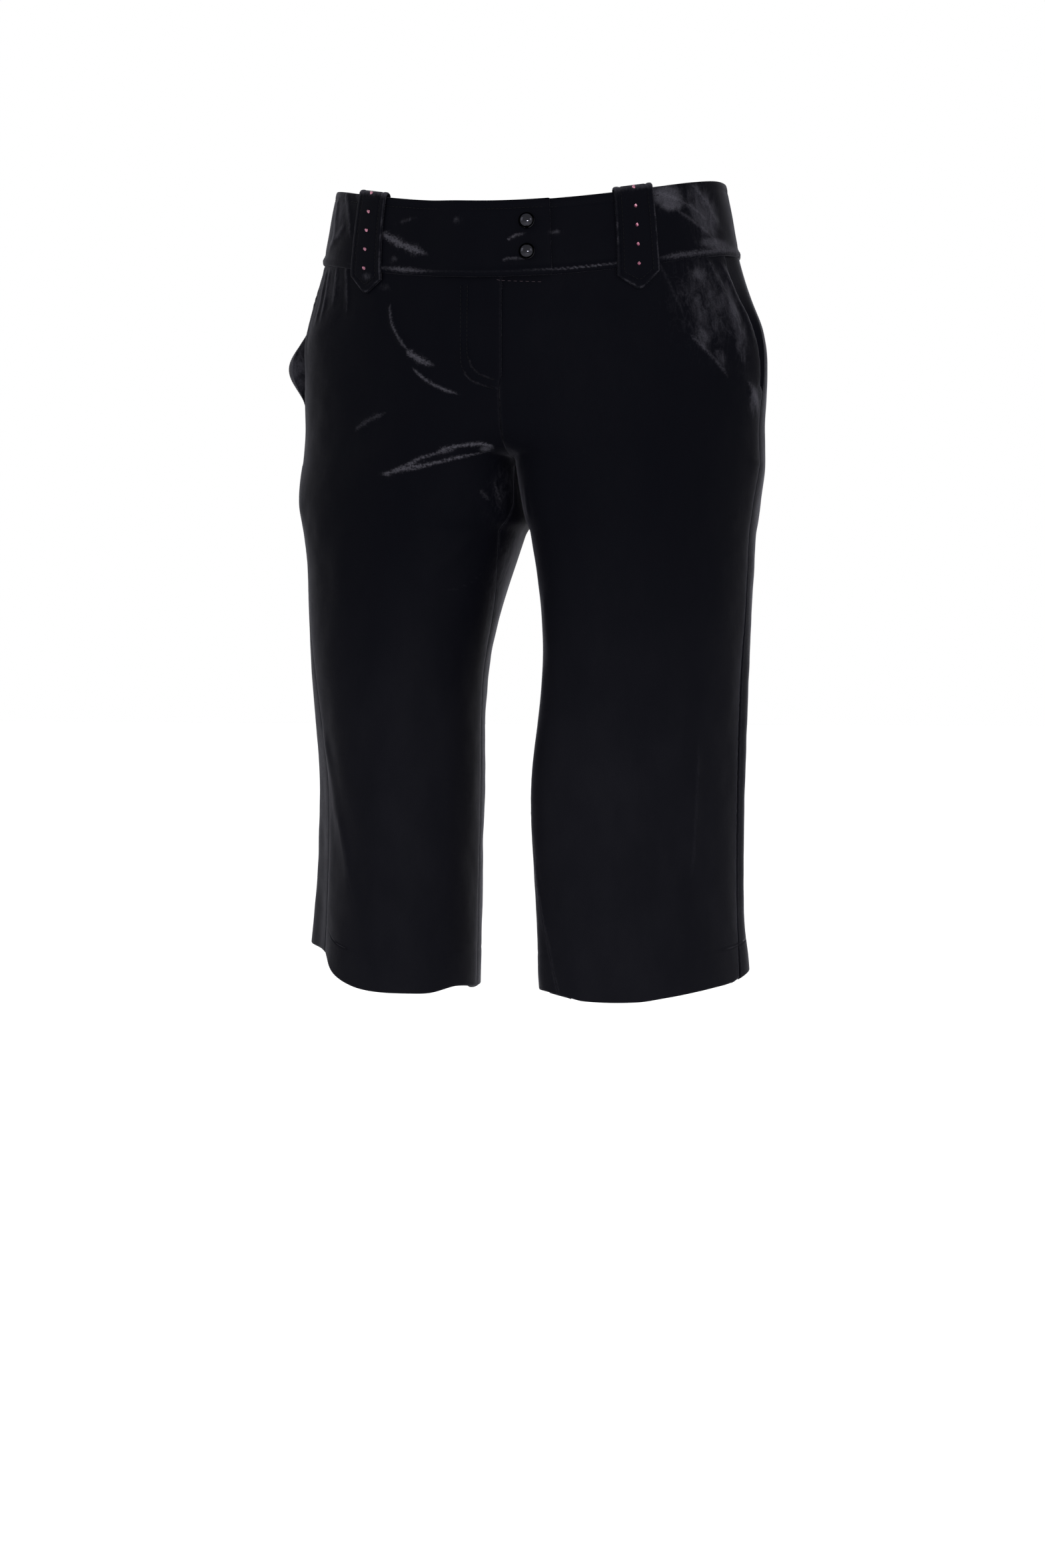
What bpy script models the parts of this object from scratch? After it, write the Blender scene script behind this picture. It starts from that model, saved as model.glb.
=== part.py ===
"""Knee-length velvet shorts in the hollow form in which they are worn.

The origin is the middle of the waist opening, level with the top of the waistband at the sides. The front
faces -Y and the wearer's left is +X. Every piece of cloth is a wall: a grid of points on the outer face,
with its thickness turned inwards.
"""

import math
from collections import namedtuple

import bmesh
import bpy
from mathutils import Matrix, Vector

# Thicknesses and gaps
VELVET = 0.0014  # one layer of pile cloth
BAND_THICK = 0.0026  # the waistband: two layers and their stiffening
TAB_THICK = 0.0018
TAPE_THICK = 0.0010
SEAM = 0.0003  # between pieces that are sewn together or lie on each other
LOOSE = 0.0008  # over the strips that lie behind the pocket openings and the fly

# Waistband
BAND_HEIGHT = 0.055
BAND_PROUD = 0.0012  # its face stands this far out from the cloth below it
FRONT_DIP = 0.0222  # the band is cut lower at the centre front than at the sides
BACK_RISE = 0.006
LAP = 0.035  # the wearer's right end laps past the centre front by this much
UNDERLAP = 0.026
LAP_RAMP = 0.012  # length over which the upper layer lifts over the lower one

# Legs
CROTCH = -0.205
HEM = -0.606
HEM_DEPTH = 0.030  # turned up inside, so the cloth is double there
HEM_STEP = 0.001
CUT_ANGLES = (76, 62, 48, 34, 20, 8)  # where the centre seam is at the panels' rows above the crotch
HEM_ROWS = 3  # rows of the panels' grids in the turned-up hem
LIFT_ROWS = 7  # rows over which the hem's uneven edge fades out
DIP_ROWS = 8  # rows over which the waistband's dip fades out

# Side pockets: a slanted opening from the waistband down to the side seam
POCKET_TOP = 0.030  # how far ahead of the side seam it starts
POCKET_FOOT = 0.006
POCKET_BOTTOM = -0.155
FACING_TUCK = 0.022  # the facing runs this far under the front
FACING_BELOW = 0.005  # and its lowest row is no more than this below the opening
EDGE_COVER = 2.0  # degrees past the front's edge before it starts to rise

# Belt tabs
TAB_ACROSS_LEFT = 0.0949  # from the centre front, along X
TAB_ACROSS_RIGHT = 0.1035
TAB_SWING_LEFT = 2.3  # degrees by which the tip hangs in towards the centre
TAB_SWING_RIGHT = 3.6
TAB_WIDTH = 0.030
TAB_LENGTH = 0.0755
TAB_POINT = 0.011
TAB_SEATED = 0.017  # above this it lies on the band
TAB_INSIDE = 0.018  # what is folded to the inside of the band
TAB_RADIUS = 0.135  # of the waist where the tabs are
STONES = 5
STONE_PITCH = 0.0139
STONE_FIRST = 0.002  # below the top of the tab
STONE_WIDTH = 0.0025
STONE_TALL = 0.0010

# Buttons
BUTTON_ACROSS = 0.020
BUTTON_DROPS = (0.016, 0.038)  # below the top of the band
BUTTON_WIDTH = 0.0118
BUTTON_TALL = 0.0052

# Fly
FLY_BOTTOM = -0.172
FLY_TAPE_WIDTH = 0.026
FLY_GUARD_WIDTH = 0.040

# One side of the garment at each height: an ellipse, sheared so that its inner end lies ahead of its outer
# end, and cut off at the centre plane above the crotch. out and ahead place its middle. The last two are
# degrees by which the inseam and the side seam lie ahead of its ends.
Ring = namedtuple("Ring", "height out ahead half_width front back skew inseam side_seam")
TRUNK = (
    Ring(0.010, 0.000, 0.000, 0.1440, 0.104, 0.099, 0.000, 0, 0),
    Ring(0.000, 0.000, 0.000, 0.1467, 0.105, 0.101, 0.000, 0, 0),
    Ring(-0.055, 0.000, 0.000, 0.1581, 0.110, 0.113, 0.000, 0, 0),
    Ring(-0.085, 0.000, 0.000, 0.1665, 0.111, 0.120, 0.002, 0, 2),
    Ring(-0.110, 0.008, 0.003, 0.1650, 0.109, 0.127, 0.006, 0, 4),
    Ring(-0.145, 0.021, 0.007, 0.1540, 0.104, 0.133, 0.012, 0, 6),
    Ring(-0.180, 0.048, 0.012, 0.1275, 0.094, 0.135, 0.020, 0, 7),
    Ring(-0.205, 0.088, 0.020, 0.08785, 0.077, 0.131, 0.030, 0, 8),
)
LEFT_LEG = (
    Ring(-0.2075, 0.0883, 0.020, 0.0879, 0.077, 0.1304, 0.030, 0, 8),
    Ring(-0.235, 0.0886, 0.020, 0.0834, 0.076, 0.124, 0.032, 0, 10),
    Ring(-0.2505, 0.0890, 0.0194, 0.0808, 0.0754, 0.118, 0.0314, 0, 10),
    Ring(-0.260, 0.09015, 0.019, 0.07835, 0.075, 0.115, 0.031, 0, 10),
    Ring(-0.320, 0.0932, 0.023, 0.0728, 0.069, 0.098, 0.030, 0, 10),
    Ring(-0.370, 0.09235, 0.027, 0.07065, 0.066, 0.086, 0.030, 2, 10),
    Ring(-0.450, 0.08775, 0.031, 0.07365, 0.063, 0.077, 0.030, 8, 10),
    Ring(-0.530, 0.0900, 0.034, 0.0716, 0.063, 0.072, 0.030, 26, 10),
    Ring(-0.610, 0.09325, 0.036, 0.07155, 0.063, 0.070, 0.030, 46, 10),
)
RIGHT_LEG = (
    Ring(-0.2075, 0.0882, 0.020, 0.0880, 0.077, 0.1306, 0.0292, 0, 8),
    Ring(-0.235, 0.0860, 0.019, 0.0890, 0.077, 0.126, 0.020, 14, 10),
    Ring(-0.2505, 0.08425, 0.0172, 0.08875, 0.077, 0.121, 0.0163, 25, 11),
    Ring(-0.260, 0.0865, 0.016, 0.0855, 0.077, 0.118, 0.014, 27, 12),
    Ring(-0.320, 0.09475, 0.016, 0.07475, 0.075, 0.102, 0.012, 7, 20),
    Ring(-0.370, 0.0976, 0.018, 0.0676, 0.075, 0.092, 0.010, 1, 33),
    Ring(-0.450, 0.09325, 0.021, 0.06205, 0.077, 0.087, 0.010, 0, 37),
    Ring(-0.530, 0.0936, 0.023, 0.0610, 0.077, 0.084, 0.010, 0, 35),
    Ring(-0.610, 0.0965, 0.024, 0.0625, 0.076, 0.082, 0.010, 0, 35),
)
LEFT, RIGHT = 1, -1
RINGS = {LEFT: TRUNK + LEFT_LEG, RIGHT: TRUNK + RIGHT_LEG}

# How far the hem lies above HEM, round each leg from the inseam by way of the front
Lift = namedtuple("Lift", "angle left right")
HEM_LIFTS = (
    Lift(0, 0.009, 0.007),
    Lift(28, 0.010, 0.010),
    Lift(50, 0.0075, 0.0065),
    Lift(64, 0.0045, 0.0065),
    Lift(95, 0.0035, 0.008),
    Lift(112, 0.006, 0.0115),
    Lift(130, 0.009, 0.019),
    Lift(143, 0.011, 0.031),
    Lift(160, 0.013, 0.035),
    Lift(190, 0.019, 0.036),
    Lift(214, 0.016, 0.032),
    Lift(250, 0.009, 0.017),
    Lift(310, 0.006, 0.007),
    Lift(360, 0.009, 0.007),
)

# Standing folds: a soft ridge on the pieces named, from one height to another, at an angle round the side
Fold = namedtuple("Fold", "side pieces top bottom angle spread rise")
FOLDS = (
    Fold(RIGHT, ("back", "facing"), -0.098, -0.166, 186, 16, 0.0180),  # the pocket stands open
    Fold(RIGHT, ("front", "back"), -0.175, -0.290, 176, 34, 0.004),  # what the whisker pushes out
    Fold(RIGHT, ("back",), -0.360, -0.640, 172, 13, 0.006),  # the back rolls out beside the side seam
    Fold(LEFT, ("front", "back", "facing"), -0.070, -0.190, 172, 30, 0.0052),  # and the other a little
    Fold(LEFT, ("back",), -0.230, -0.640, 180, 11, 0.003),
    Fold(RIGHT, ("back",), -0.500, -0.665, 176, 15, 0.0080),  # the hem's outer corners flare
    Fold(LEFT, ("back",), -0.540, -0.640, 190, 18, 0.0045),
)
WHISKER_FROM, WHISKER_TO = (-0.096, -0.221), (-0.006, -0.197)  # X and Z of the long fold across the thigh
WHISKER_RISE, WHISKER_SPREAD = 0.0045, 0.009


def smooth(x):
    x = min(max(x, 0.0), 1.0)
    return x * x * (3 - 2 * x)


def curve(places, values, at):
    """The value at a place, on a smooth curve through the values; places rise."""
    if at <= places[0]:
        return values[0]
    if at >= places[-1]:
        return values[-1]
    k = next(i for i in range(len(places) - 1) if at <= places[i + 1])

    def slope(i):
        low, high = max(i - 1, 0), min(i + 1, len(places) - 1)
        return (values[high] - values[low]) / (places[high] - places[low])

    wide = places[k + 1] - places[k]
    t = (at - places[k]) / wide
    return (
        values[k] * (1 + 2 * t) * (1 - t) ** 2
        + values[k + 1] * t * t * (3 - 2 * t)
        + wide * (slope(k) * t * (1 - t) ** 2 - slope(k + 1) * t * t * (1 - t))
    )


def ring_at(side, height):
    rows = RINGS[side][::-1]
    heights = [row.height for row in rows]
    return Ring(height, *(curve(heights, column, height) for column in list(zip(*rows))[1:]))


def bare(side, height, angle):
    """A point of the outer face without its folds. angle is in degrees: 0 inseam, 90 front, 180 side."""
    ring = ring_at(side, height)
    turn = math.radians(angle)
    deep = ring.front if math.sin(turn) > 0 else ring.back
    across = ring.out - ring.half_width * math.cos(turn)
    along = -ring.ahead - ring.skew * math.cos(turn) - deep * math.sin(turn)
    return Vector((side * across, along, height))


def outward(side, height, angle):
    by_angle = bare(side, height, angle + 0.5) - bare(side, height, angle - 0.5)
    by_height = bare(side, height + 0.001, angle) - bare(side, height - 0.001, angle)
    return by_angle.cross(by_height).normalized() * side


def relief(side, height, angle, piece):
    """How far the folds lift a piece off its plain form."""
    rise = 0.0
    for fold in FOLDS:
        if fold.side != side or piece not in fold.pieces or not fold.bottom < height < fold.top:
            continue
        along = math.sin(math.pi * (fold.top - height) / (fold.top - fold.bottom)) ** 2
        rise += fold.rise * along * math.exp(-(((angle - fold.angle) / fold.spread) ** 2))
    if side == RIGHT and piece == "front":
        point = bare(side, height, angle)
        (x1, z1), (x2, z2) = WHISKER_FROM, WHISKER_TO
        share = (point.x - x1) / (x2 - x1)
        if 0 < share < 1:
            off = (height - z1 - share * (z2 - z1)) / WHISKER_SPREAD
            rise += WHISKER_RISE * math.sin(math.pi * share) * math.exp(-off * off)
    return rise


def skin(side, height, angle, out=0.0, piece=""):
    """A point of the outer face, moved out along its normal."""
    lift = out + relief(side, height, angle, piece)
    return bare(side, height, angle) + outward(side, height, angle) * lift


def cut_angle(side, height):
    """Where a side starts: at the centre plane above the crotch, at the inseam below it."""
    ring = ring_at(side, height)
    share = (ring.out - SEAM / 2) / ring.half_width
    return max(ring.inseam, math.degrees(math.acos(min(share, 1.0))))


def height_of_cut(angle):
    """The height above the crotch at which the centre seam has this cut angle."""
    low, high = CROTCH, -0.085
    for _ in range(40):
        middle = (low + high) / 2
        low, high = (middle, high) if cut_angle(LEFT, middle) < angle else (low, middle)
    return (low + high) / 2


def band_top(turn):
    """The height of the band's upper edge; turn is in degrees from the centre front, past 90 behind."""
    lean = math.cos(math.radians(turn))
    return -FRONT_DIP * lean**2 if lean > 0 else BACK_RISE * lean**2


def around(turn, height, out):
    """A point of the trunk above the hips by its turn from the centre front, by way of the wearer's left."""
    side = LEFT if 0 <= turn <= 180 else RIGHT
    return skin(side, height, 90 + (abs(turn) if turn <= 180 else 360 - turn), out)


def turn_at(across, height):
    """The turn at which the trunk's front has this X."""
    return math.degrees(math.asin(across / ring_at(LEFT, height).half_width))


def material(name, colour, roughness, metallic=0.0, sheen=0.0):
    made = bpy.data.materials.new(name)
    made.use_nodes = True
    shader = made.node_tree.nodes["Principled BSDF"]
    shader.inputs["Base Color"].default_value = (*colour, 1.0)
    shader.inputs["Roughness"].default_value = roughness
    shader.inputs["Metallic"].default_value = metallic
    shader.inputs["Sheen Weight"].default_value = sheen
    return made


def add(name, mesh, finish):
    piece = bpy.data.objects.new(name, mesh)
    bpy.context.scene.collection.objects.link(piece)
    mesh.materials.append(finish)
    return piece


def wall(name, outer, inner, finish):
    """A piece of cloth between a grid of points on its outer face and the like grid on its inner face."""
    mesh = bpy.data.meshes.new(name)
    form = bmesh.new()
    faces = [[[form.verts.new(point) for point in row] for row in grid] for grid in (outer, inner)]
    for grid in faces:
        for upper, lower in zip(grid, grid[1:]):
            for k in range(len(upper) - 1):
                form.faces.new((upper[k], lower[k], lower[k + 1], upper[k + 1]))
    rims = []
    for grid in faces:
        down = [row[-1] for row in grid[1:-1]]
        up = [row[0] for row in grid[-2:0:-1]]
        rims.append(grid[0] + down + grid[-1][::-1] + up)
    for k in range(len(rims[0])):
        form.faces.new((rims[0][k - 1], rims[0][k], rims[1][k], rims[1][k - 1]))
    bmesh.ops.recalc_face_normals(form, faces=form.faces)
    form.to_mesh(mesh)
    form.free()
    mesh.shade_smooth()
    mesh.set_sharp_from_angle(angle=math.radians(50))
    return add(name, mesh, finish)


def row_heights():
    """Pairs of heights down the legs, at the centre or inseam and at the side seam."""
    near = [height_of_cut(angle) for angle in CUT_ANGLES] + [CROTCH]
    far = [CROTCH + 0.016 * (len(near) - 1 - k) for k in range(len(near))]
    above = 4
    top = -BAND_HEIGHT - SEAM
    rows = [
        (top + (near[0] - top) * k / above, top + (far[0] - top) * k / above) for k in range(above)
    ]
    rows += zip(near, far)
    legs, hem_rows = 13, (HEM_DEPTH + HEM_STEP, HEM_DEPTH - HEM_STEP, HEM_DEPTH / 2, 0.0)
    low = HEM + hem_rows[0]
    for k in range(1, legs):
        height = CROTCH + (low - CROTCH) * k / legs
        rows.append((height, height))
    return rows + [(HEM + up, HEM + up) for up in hem_rows]


def hem_lift(side, angle):
    lifts = [row.left if side == LEFT else row.right for row in HEM_LIFTS]
    return curve([row.angle for row in HEM_LIFTS], lifts, angle)


def pocket_cut(side, height):
    """Degrees by which the pocket opening lies ahead of the side seam."""
    if height < POCKET_BOTTOM:
        return 0.0
    share = smooth((-BAND_HEIGHT - height) / (-BAND_HEIGHT - POCKET_BOTTOM))
    gap = POCKET_TOP + (POCKET_FOOT - POCKET_TOP) * share
    return math.degrees(gap / ring_at(side, height).front)


def gap_angle(side, height):
    """Half the gap at a seam of the side, in degrees."""
    return math.degrees(SEAM / 2 / ring_at(side, height).front)


def panel(name, side, behind, columns, finish):
    """A front or a back: its rows run from the centre or inseam to the side seam."""
    levels = row_heights()

    def ends(height):
        """The angles at which a row at this height starts and ends."""
        gap = gap_angle(side, height)
        start, seam = cut_angle(side, height), 180 - ring_at(side, height).side_seam
        if behind:
            return (360 - start if height > CROTCH else 360 + start - gap), seam + gap
        return start + (0 if height > CROTCH else gap), seam - gap - pocket_cut(side, height)

    def rows(depth):
        made = []
        for k, (near, far) in enumerate(levels):
            fade = smooth(1 - k / DIP_ROWS)
            drop = smooth((k - len(levels) + 1 + LIFT_ROWS) / LIFT_ROWS)
            layers = 2 if k >= len(levels) - HEM_ROWS else 1
            row = []
            for u in columns:
                height = far + (near - far) * (1 - u) ** 2
                start, end = ends(height)
                height += fade * band_top(start + (end - start) * u - 90)
                start, end = ends(height)
                angle = start + (end - start) * u
                height += drop * hem_lift(side, angle % 360)
                row.append(skin(side, height, angle, -depth * layers, "back" if behind else "front"))
            made.append(row)
        return made

    return wall(name, rows(0), rows(VELVET), finish)


def even(count):
    return [k / count for k in range(count + 1)]


def stretch(start, end, steps):
    return [start + (end - start) * u for u in even(steps)]


def band(name, turns, finish, lifts=None):
    """A stretch of the waistband through these turns. lifts says how far each of them lies over the band's
    other end."""
    lifts = lifts or [0] * len(turns)

    def rows(depth):
        return [
            [
                around(turn, band_top(turn) - t * BAND_HEIGHT, BAND_PROUD + lift - depth)
                for turn, lift in zip(turns, lifts)
            ]
            for t in even(3)
        ]

    return wall(name, rows(0), rows(BAND_THICK), finish)


def tab_middle(turn, swing, down):
    """The turn of a tab's middle, that far below the band's upper edge: its tip hangs in to the centre."""
    share = min(max(down / TAB_LENGTH, 0.0), 1.0)
    return turn - math.copysign(swing * share**2, turn)


def tab_path(turn, depth):
    """Down a tab's outer face or, by a depth, inside it: outward distances and heights, with the share of
    its full width. It runs from the point, over the band, to the inside."""
    top = band_top(turn)
    middle = BAND_PROUD - BAND_THICK / 2
    reach = BAND_THICK / 2 + SEAM + TAB_THICK
    tip = top + reach - TAB_LENGTH
    path = [(-BAND_PROUD, tip, 0.12), (-BAND_PROUD / 2, tip + TAB_POINT, 1), (0, tip + TAB_SEATED, 1)]
    path += [(0, tip + TAB_LENGTH * share, 1) for share in (0.4, 0.6, 0.8)]
    path = [(middle + reach - depth + sunk, height, share) for sunk, height, share in path]
    for k in range(7):
        bend = math.pi * k / 6
        out, up = (reach - depth) * math.cos(bend), (reach - depth) * math.sin(bend)
        path.append((middle + out, top + up, 1))
    return path + [(middle - reach + depth, top - TAB_INSIDE, 1)]


def tab(name, turn, swing, finish):
    half = math.degrees(TAB_WIDTH / 2 / TAB_RADIUS)
    top = band_top(turn)

    def rows(depth):
        made = []
        for out, height, share in tab_path(turn, depth):
            middle = tab_middle(turn, swing, top - height)
            turns = [middle + half * share * (2 * u - 1) for u in even(4)]
            made.append([around(at, height + band_top(at) - band_top(middle), out) for at in turns])
        return made

    return wall(name, rows(0), rows(TAB_THICK), finish)


def stone(name, turn, swing, down, finish):
    """A small cut stone on a tab, that far below the tab's top."""
    middle = BAND_PROUD - BAND_THICK / 2
    reach = BAND_THICK / 2 + SEAM + TAB_THICK
    top = band_top(turn)
    turn = tab_middle(turn, swing, down - reach)
    stand = SEAM + STONE_TALL / 2
    bend = math.asin(max((reach - down) / reach, 0.0))
    height = top + reach - down + stand * math.sin(bend)
    side = LEFT if turn >= 0 else RIGHT
    facing = outward(side, height, 90 + abs(turn))
    facing = (facing * math.cos(bend) + Vector((0, 0, 1)) * math.sin(bend)).normalized()
    centre = around(turn, height, middle + (reach + stand) * math.cos(bend))
    mesh = bpy.data.meshes.new(name)
    form = bmesh.new()
    bmesh.ops.create_cone(
        form,
        cap_ends=True,
        segments=8,
        radius1=STONE_WIDTH / 2,
        radius2=STONE_WIDTH * 0.28,
        depth=STONE_TALL,
        matrix=Matrix.Identity(4),
    )
    form.to_mesh(mesh)
    form.free()
    piece = add(name, mesh, finish)
    piece.location = centre
    piece.rotation_mode = "QUATERNION"
    piece.rotation_quaternion = facing.to_track_quat("Z", "Y")
    return piece


def button(name, drop, finish):
    """A domed metal cap with a rolled rim, turned from its profile."""
    turn = turn_at(BUTTON_ACROSS, -BAND_HEIGHT / 2)
    height = band_top(turn) - drop
    out = BAND_PROUD + BAND_THICK + 2 * SEAM
    rim, tall = BUTTON_WIDTH / 2, BUTTON_TALL
    profile = [(0.0, tall)]
    profile += [
        (rim * 0.9 * math.sin(a), tall * 0.28 + tall * 0.72 * math.cos(a))
        for a in (math.radians(d) for d in (22, 44, 66, 84))
    ]
    profile += [(rim, tall * 0.22), (rim, tall * 0.06), (rim * 0.85, 0.0), (0.0, 0.0)]
    mesh = bpy.data.meshes.new(name)
    form = bmesh.new()
    line = [form.verts.new((r, 0.0, z)) for r, z in profile]
    edges = [form.edges.new(pair) for pair in zip(line, line[1:])]
    bmesh.ops.spin(
        form,
        geom=line + edges,
        cent=(0, 0, 0),
        axis=(0, 0, 1),
        angle=math.tau,
        steps=16,
        use_merge=True,
    )
    bmesh.ops.remove_doubles(form, verts=form.verts, dist=1e-6)
    bmesh.ops.recalc_face_normals(form, faces=form.faces)
    form.to_mesh(mesh)
    form.free()
    mesh.shade_smooth()
    piece = add(name, mesh, finish)
    piece.location = around(turn, height, out)
    piece.rotation_mode = "QUATERNION"
    facing = outward(LEFT, height, 90 + turn)
    piece.rotation_quaternion = facing.to_track_quat("Z", "Y")
    return piece


def pocket_facing(name, side, finish):
    """The strip of cloth that shows in the pocket opening. It lies under the front and rises to meet the
    back at the side seam."""
    heights = [far for near, far in row_heights() if far > POCKET_BOTTOM - FACING_BELOW]

    def rows(depth):
        made = []
        for k, height in enumerate(heights):
            seam = 180 - ring_at(side, height).side_seam - gap_angle(side, height)
            edge = seam - pocket_cut(side, height)
            tuck = math.degrees(FACING_TUCK / ring_at(side, height).front)
            row = []
            for u in even(8):
                angle = edge - tuck + (seam - edge + tuck) * u
                at = height + (band_top(angle - 90) - SEAM if k == 0 else 0)
                under = 1 - smooth((angle - edge - EDGE_COVER) / max(seam - edge - EDGE_COVER, 1.0))
                sunk = under * (VELVET + LOOSE + relief(side, at, angle, "facing"))
                row.append(skin(side, at, angle, -depth - sunk, "facing"))
            made.append(row)
        return made

    return wall(name, rows(0), rows(VELVET), finish)


def fly_strip(name, width, under, thick, bottom, finish):
    """A flat strip behind the centre front, across the centre plane."""
    high = -BAND_HEIGHT - FRONT_DIP - 0.004

    def rows(depth):
        made = []
        for t in even(6):
            height = high + (bottom - high) * t
            row = []
            for u in even(6):
                across = width * (u - 0.5)
                side = LEFT if across >= 0 else RIGHT
                ring = ring_at(side, height)
                angle = math.degrees(math.acos((ring.out - abs(across)) / ring.half_width))
                row.append(skin(side, height, angle, -depth))
            made.append(row)
        return made

    return wall(name, rows(under), rows(under + thick), finish)


def build():
    for old in list(bpy.data.objects):
        bpy.data.objects.remove(old, do_unlink=True)
    velvet = material("black_velvet", (0.012, 0.012, 0.016), 0.45, sheen=0.6)
    gunmetal = material("gunmetal", (0.10, 0.10, 0.11), 0.22, metallic=1.0)
    crystal = material("rose_crystal", (0.75, 0.25, 0.35), 0.08)
    tape = material("zip_tape", (0.02, 0.02, 0.024), 0.7)

    front_columns = even(14)
    back_columns = [1 - (1 - u) ** 1.35 for u in even(15)]
    for side, word in ((LEFT, "left"), (RIGHT, "right")):
        panel(f"front_{word}", side, False, front_columns, velvet)
        panel(f"back_{word}", side, True, back_columns, velvet)
        pocket_facing(f"pocket_facing_{word}", side, velvet)

    half_gap = math.degrees(SEAM / 2 / ring_at(LEFT, 0).front)
    under_end, over_end = -turn_at(UNDERLAP, 0), turn_at(LAP, 0)
    ramp_end = under_end - 1
    ramp_start = ramp_end - math.degrees(LAP_RAMP / ring_at(LEFT, 0).half_width)
    over = stretch(ramp_end, over_end, 7)
    flat, ramp = stretch(-90 + half_gap, ramp_start, 14), stretch(ramp_start, ramp_end, 4)[1:-1]
    lap = BAND_THICK + SEAM
    lifts = [0] * len(flat) + [lap * smooth((k + 1) / 4) for k in range(len(ramp))] + [lap] * len(over)
    band("waistband_front_left", stretch(under_end, 90 - half_gap, 17), velvet)
    band("waistband_front_right", flat + ramp + over, velvet, lifts)
    band("waistband_back", stretch(90 + half_gap, 270 - half_gap, 22), velvet)

    tabs = (("left", TAB_ACROSS_LEFT, TAB_SWING_LEFT), ("right", -TAB_ACROSS_RIGHT, TAB_SWING_RIGHT))
    for word, across, swing in tabs:
        turn = turn_at(across, -BAND_HEIGHT / 2)
        tab(f"belt_tab_{word}", turn, swing, velvet)
        for k in range(STONES):
            stone(f"stone_{word}_{k + 1}", turn, swing, STONE_FIRST + STONE_PITCH * k, crystal)
    for k, drop in enumerate(BUTTON_DROPS):
        button(f"button_{k + 1}", drop, gunmetal)

    under = VELVET + LOOSE
    fly_strip("zip", FLY_TAPE_WIDTH, under, TAPE_THICK, FLY_BOTTOM + 0.006, tape)
    fly_strip("fly_guard", FLY_GUARD_WIDTH, under + TAPE_THICK + SEAM, VELVET, FLY_BOTTOM, velvet)


build()
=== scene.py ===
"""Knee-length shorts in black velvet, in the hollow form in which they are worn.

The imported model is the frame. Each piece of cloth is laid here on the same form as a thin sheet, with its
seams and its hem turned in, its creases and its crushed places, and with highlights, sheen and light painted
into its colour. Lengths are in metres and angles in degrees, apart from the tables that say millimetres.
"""

import math
from collections import namedtuple

import bmesh
import bpy
import numpy as np
from mathutils import Matrix, Vector, noise


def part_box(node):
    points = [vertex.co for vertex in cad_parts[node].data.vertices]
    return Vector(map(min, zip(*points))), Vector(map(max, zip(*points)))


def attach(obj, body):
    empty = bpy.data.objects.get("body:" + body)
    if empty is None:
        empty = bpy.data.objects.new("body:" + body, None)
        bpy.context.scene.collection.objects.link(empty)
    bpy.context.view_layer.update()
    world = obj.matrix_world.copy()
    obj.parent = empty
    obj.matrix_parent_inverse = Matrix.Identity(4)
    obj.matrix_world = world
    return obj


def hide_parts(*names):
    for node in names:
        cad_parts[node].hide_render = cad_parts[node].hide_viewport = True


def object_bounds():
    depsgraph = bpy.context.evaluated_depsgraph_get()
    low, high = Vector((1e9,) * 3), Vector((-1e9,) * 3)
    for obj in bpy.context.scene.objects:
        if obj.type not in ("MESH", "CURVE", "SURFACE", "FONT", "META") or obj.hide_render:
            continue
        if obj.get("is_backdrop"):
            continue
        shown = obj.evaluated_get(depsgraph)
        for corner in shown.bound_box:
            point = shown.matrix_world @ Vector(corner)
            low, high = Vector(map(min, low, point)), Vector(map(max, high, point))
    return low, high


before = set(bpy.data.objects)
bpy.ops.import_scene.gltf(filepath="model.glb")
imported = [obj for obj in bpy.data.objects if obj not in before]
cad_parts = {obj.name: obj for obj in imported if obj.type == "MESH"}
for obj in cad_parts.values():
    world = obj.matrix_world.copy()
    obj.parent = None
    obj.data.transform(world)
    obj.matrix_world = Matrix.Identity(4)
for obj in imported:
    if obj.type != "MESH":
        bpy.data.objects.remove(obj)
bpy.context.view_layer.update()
bpy.ops.object.select_all(action="DESELECT")

# ---- The fronts ----------------------------------------------------------------------------------------
# Two panels of silky black velvet, each cut in one piece from the waistband to the hem. They are sewn to
# each other at the centre, where the fly's edge laps over, and to the backs at the inseam and the side.
# Their slanted pocket edges are turned in, and so is a hem of 30 mm.

LEFT, RIGHT = 1, -1

# One side of the garment at each height: an ellipse, sheared so that its inner end lies ahead of its outer
# end. The last two are degrees by which the inseam and the side seam lie ahead of its ends.
Ring = namedtuple("Ring", "height out ahead half_width front back skew inseam side_seam")
TRUNK = (
    Ring(0.010, 0.000, 0.000, 0.1440, 0.104, 0.099, 0.000, 0, 0),
    Ring(0.000, 0.000, 0.000, 0.1467, 0.105, 0.101, 0.000, 0, 0),
    Ring(-0.055, 0.000, 0.000, 0.1581, 0.110, 0.113, 0.000, 0, 0),
    Ring(-0.085, 0.000, 0.000, 0.1665, 0.111, 0.120, 0.002, 0, 2),
    Ring(-0.110, 0.008, 0.003, 0.1650, 0.109, 0.127, 0.006, 0, 4),
    Ring(-0.145, 0.021, 0.007, 0.1540, 0.104, 0.133, 0.012, 0, 6),
    Ring(-0.180, 0.048, 0.012, 0.1275, 0.094, 0.135, 0.020, 0, 7),
    Ring(-0.205, 0.088, 0.020, 0.08785, 0.077, 0.131, 0.030, 0, 8),
)
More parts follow.
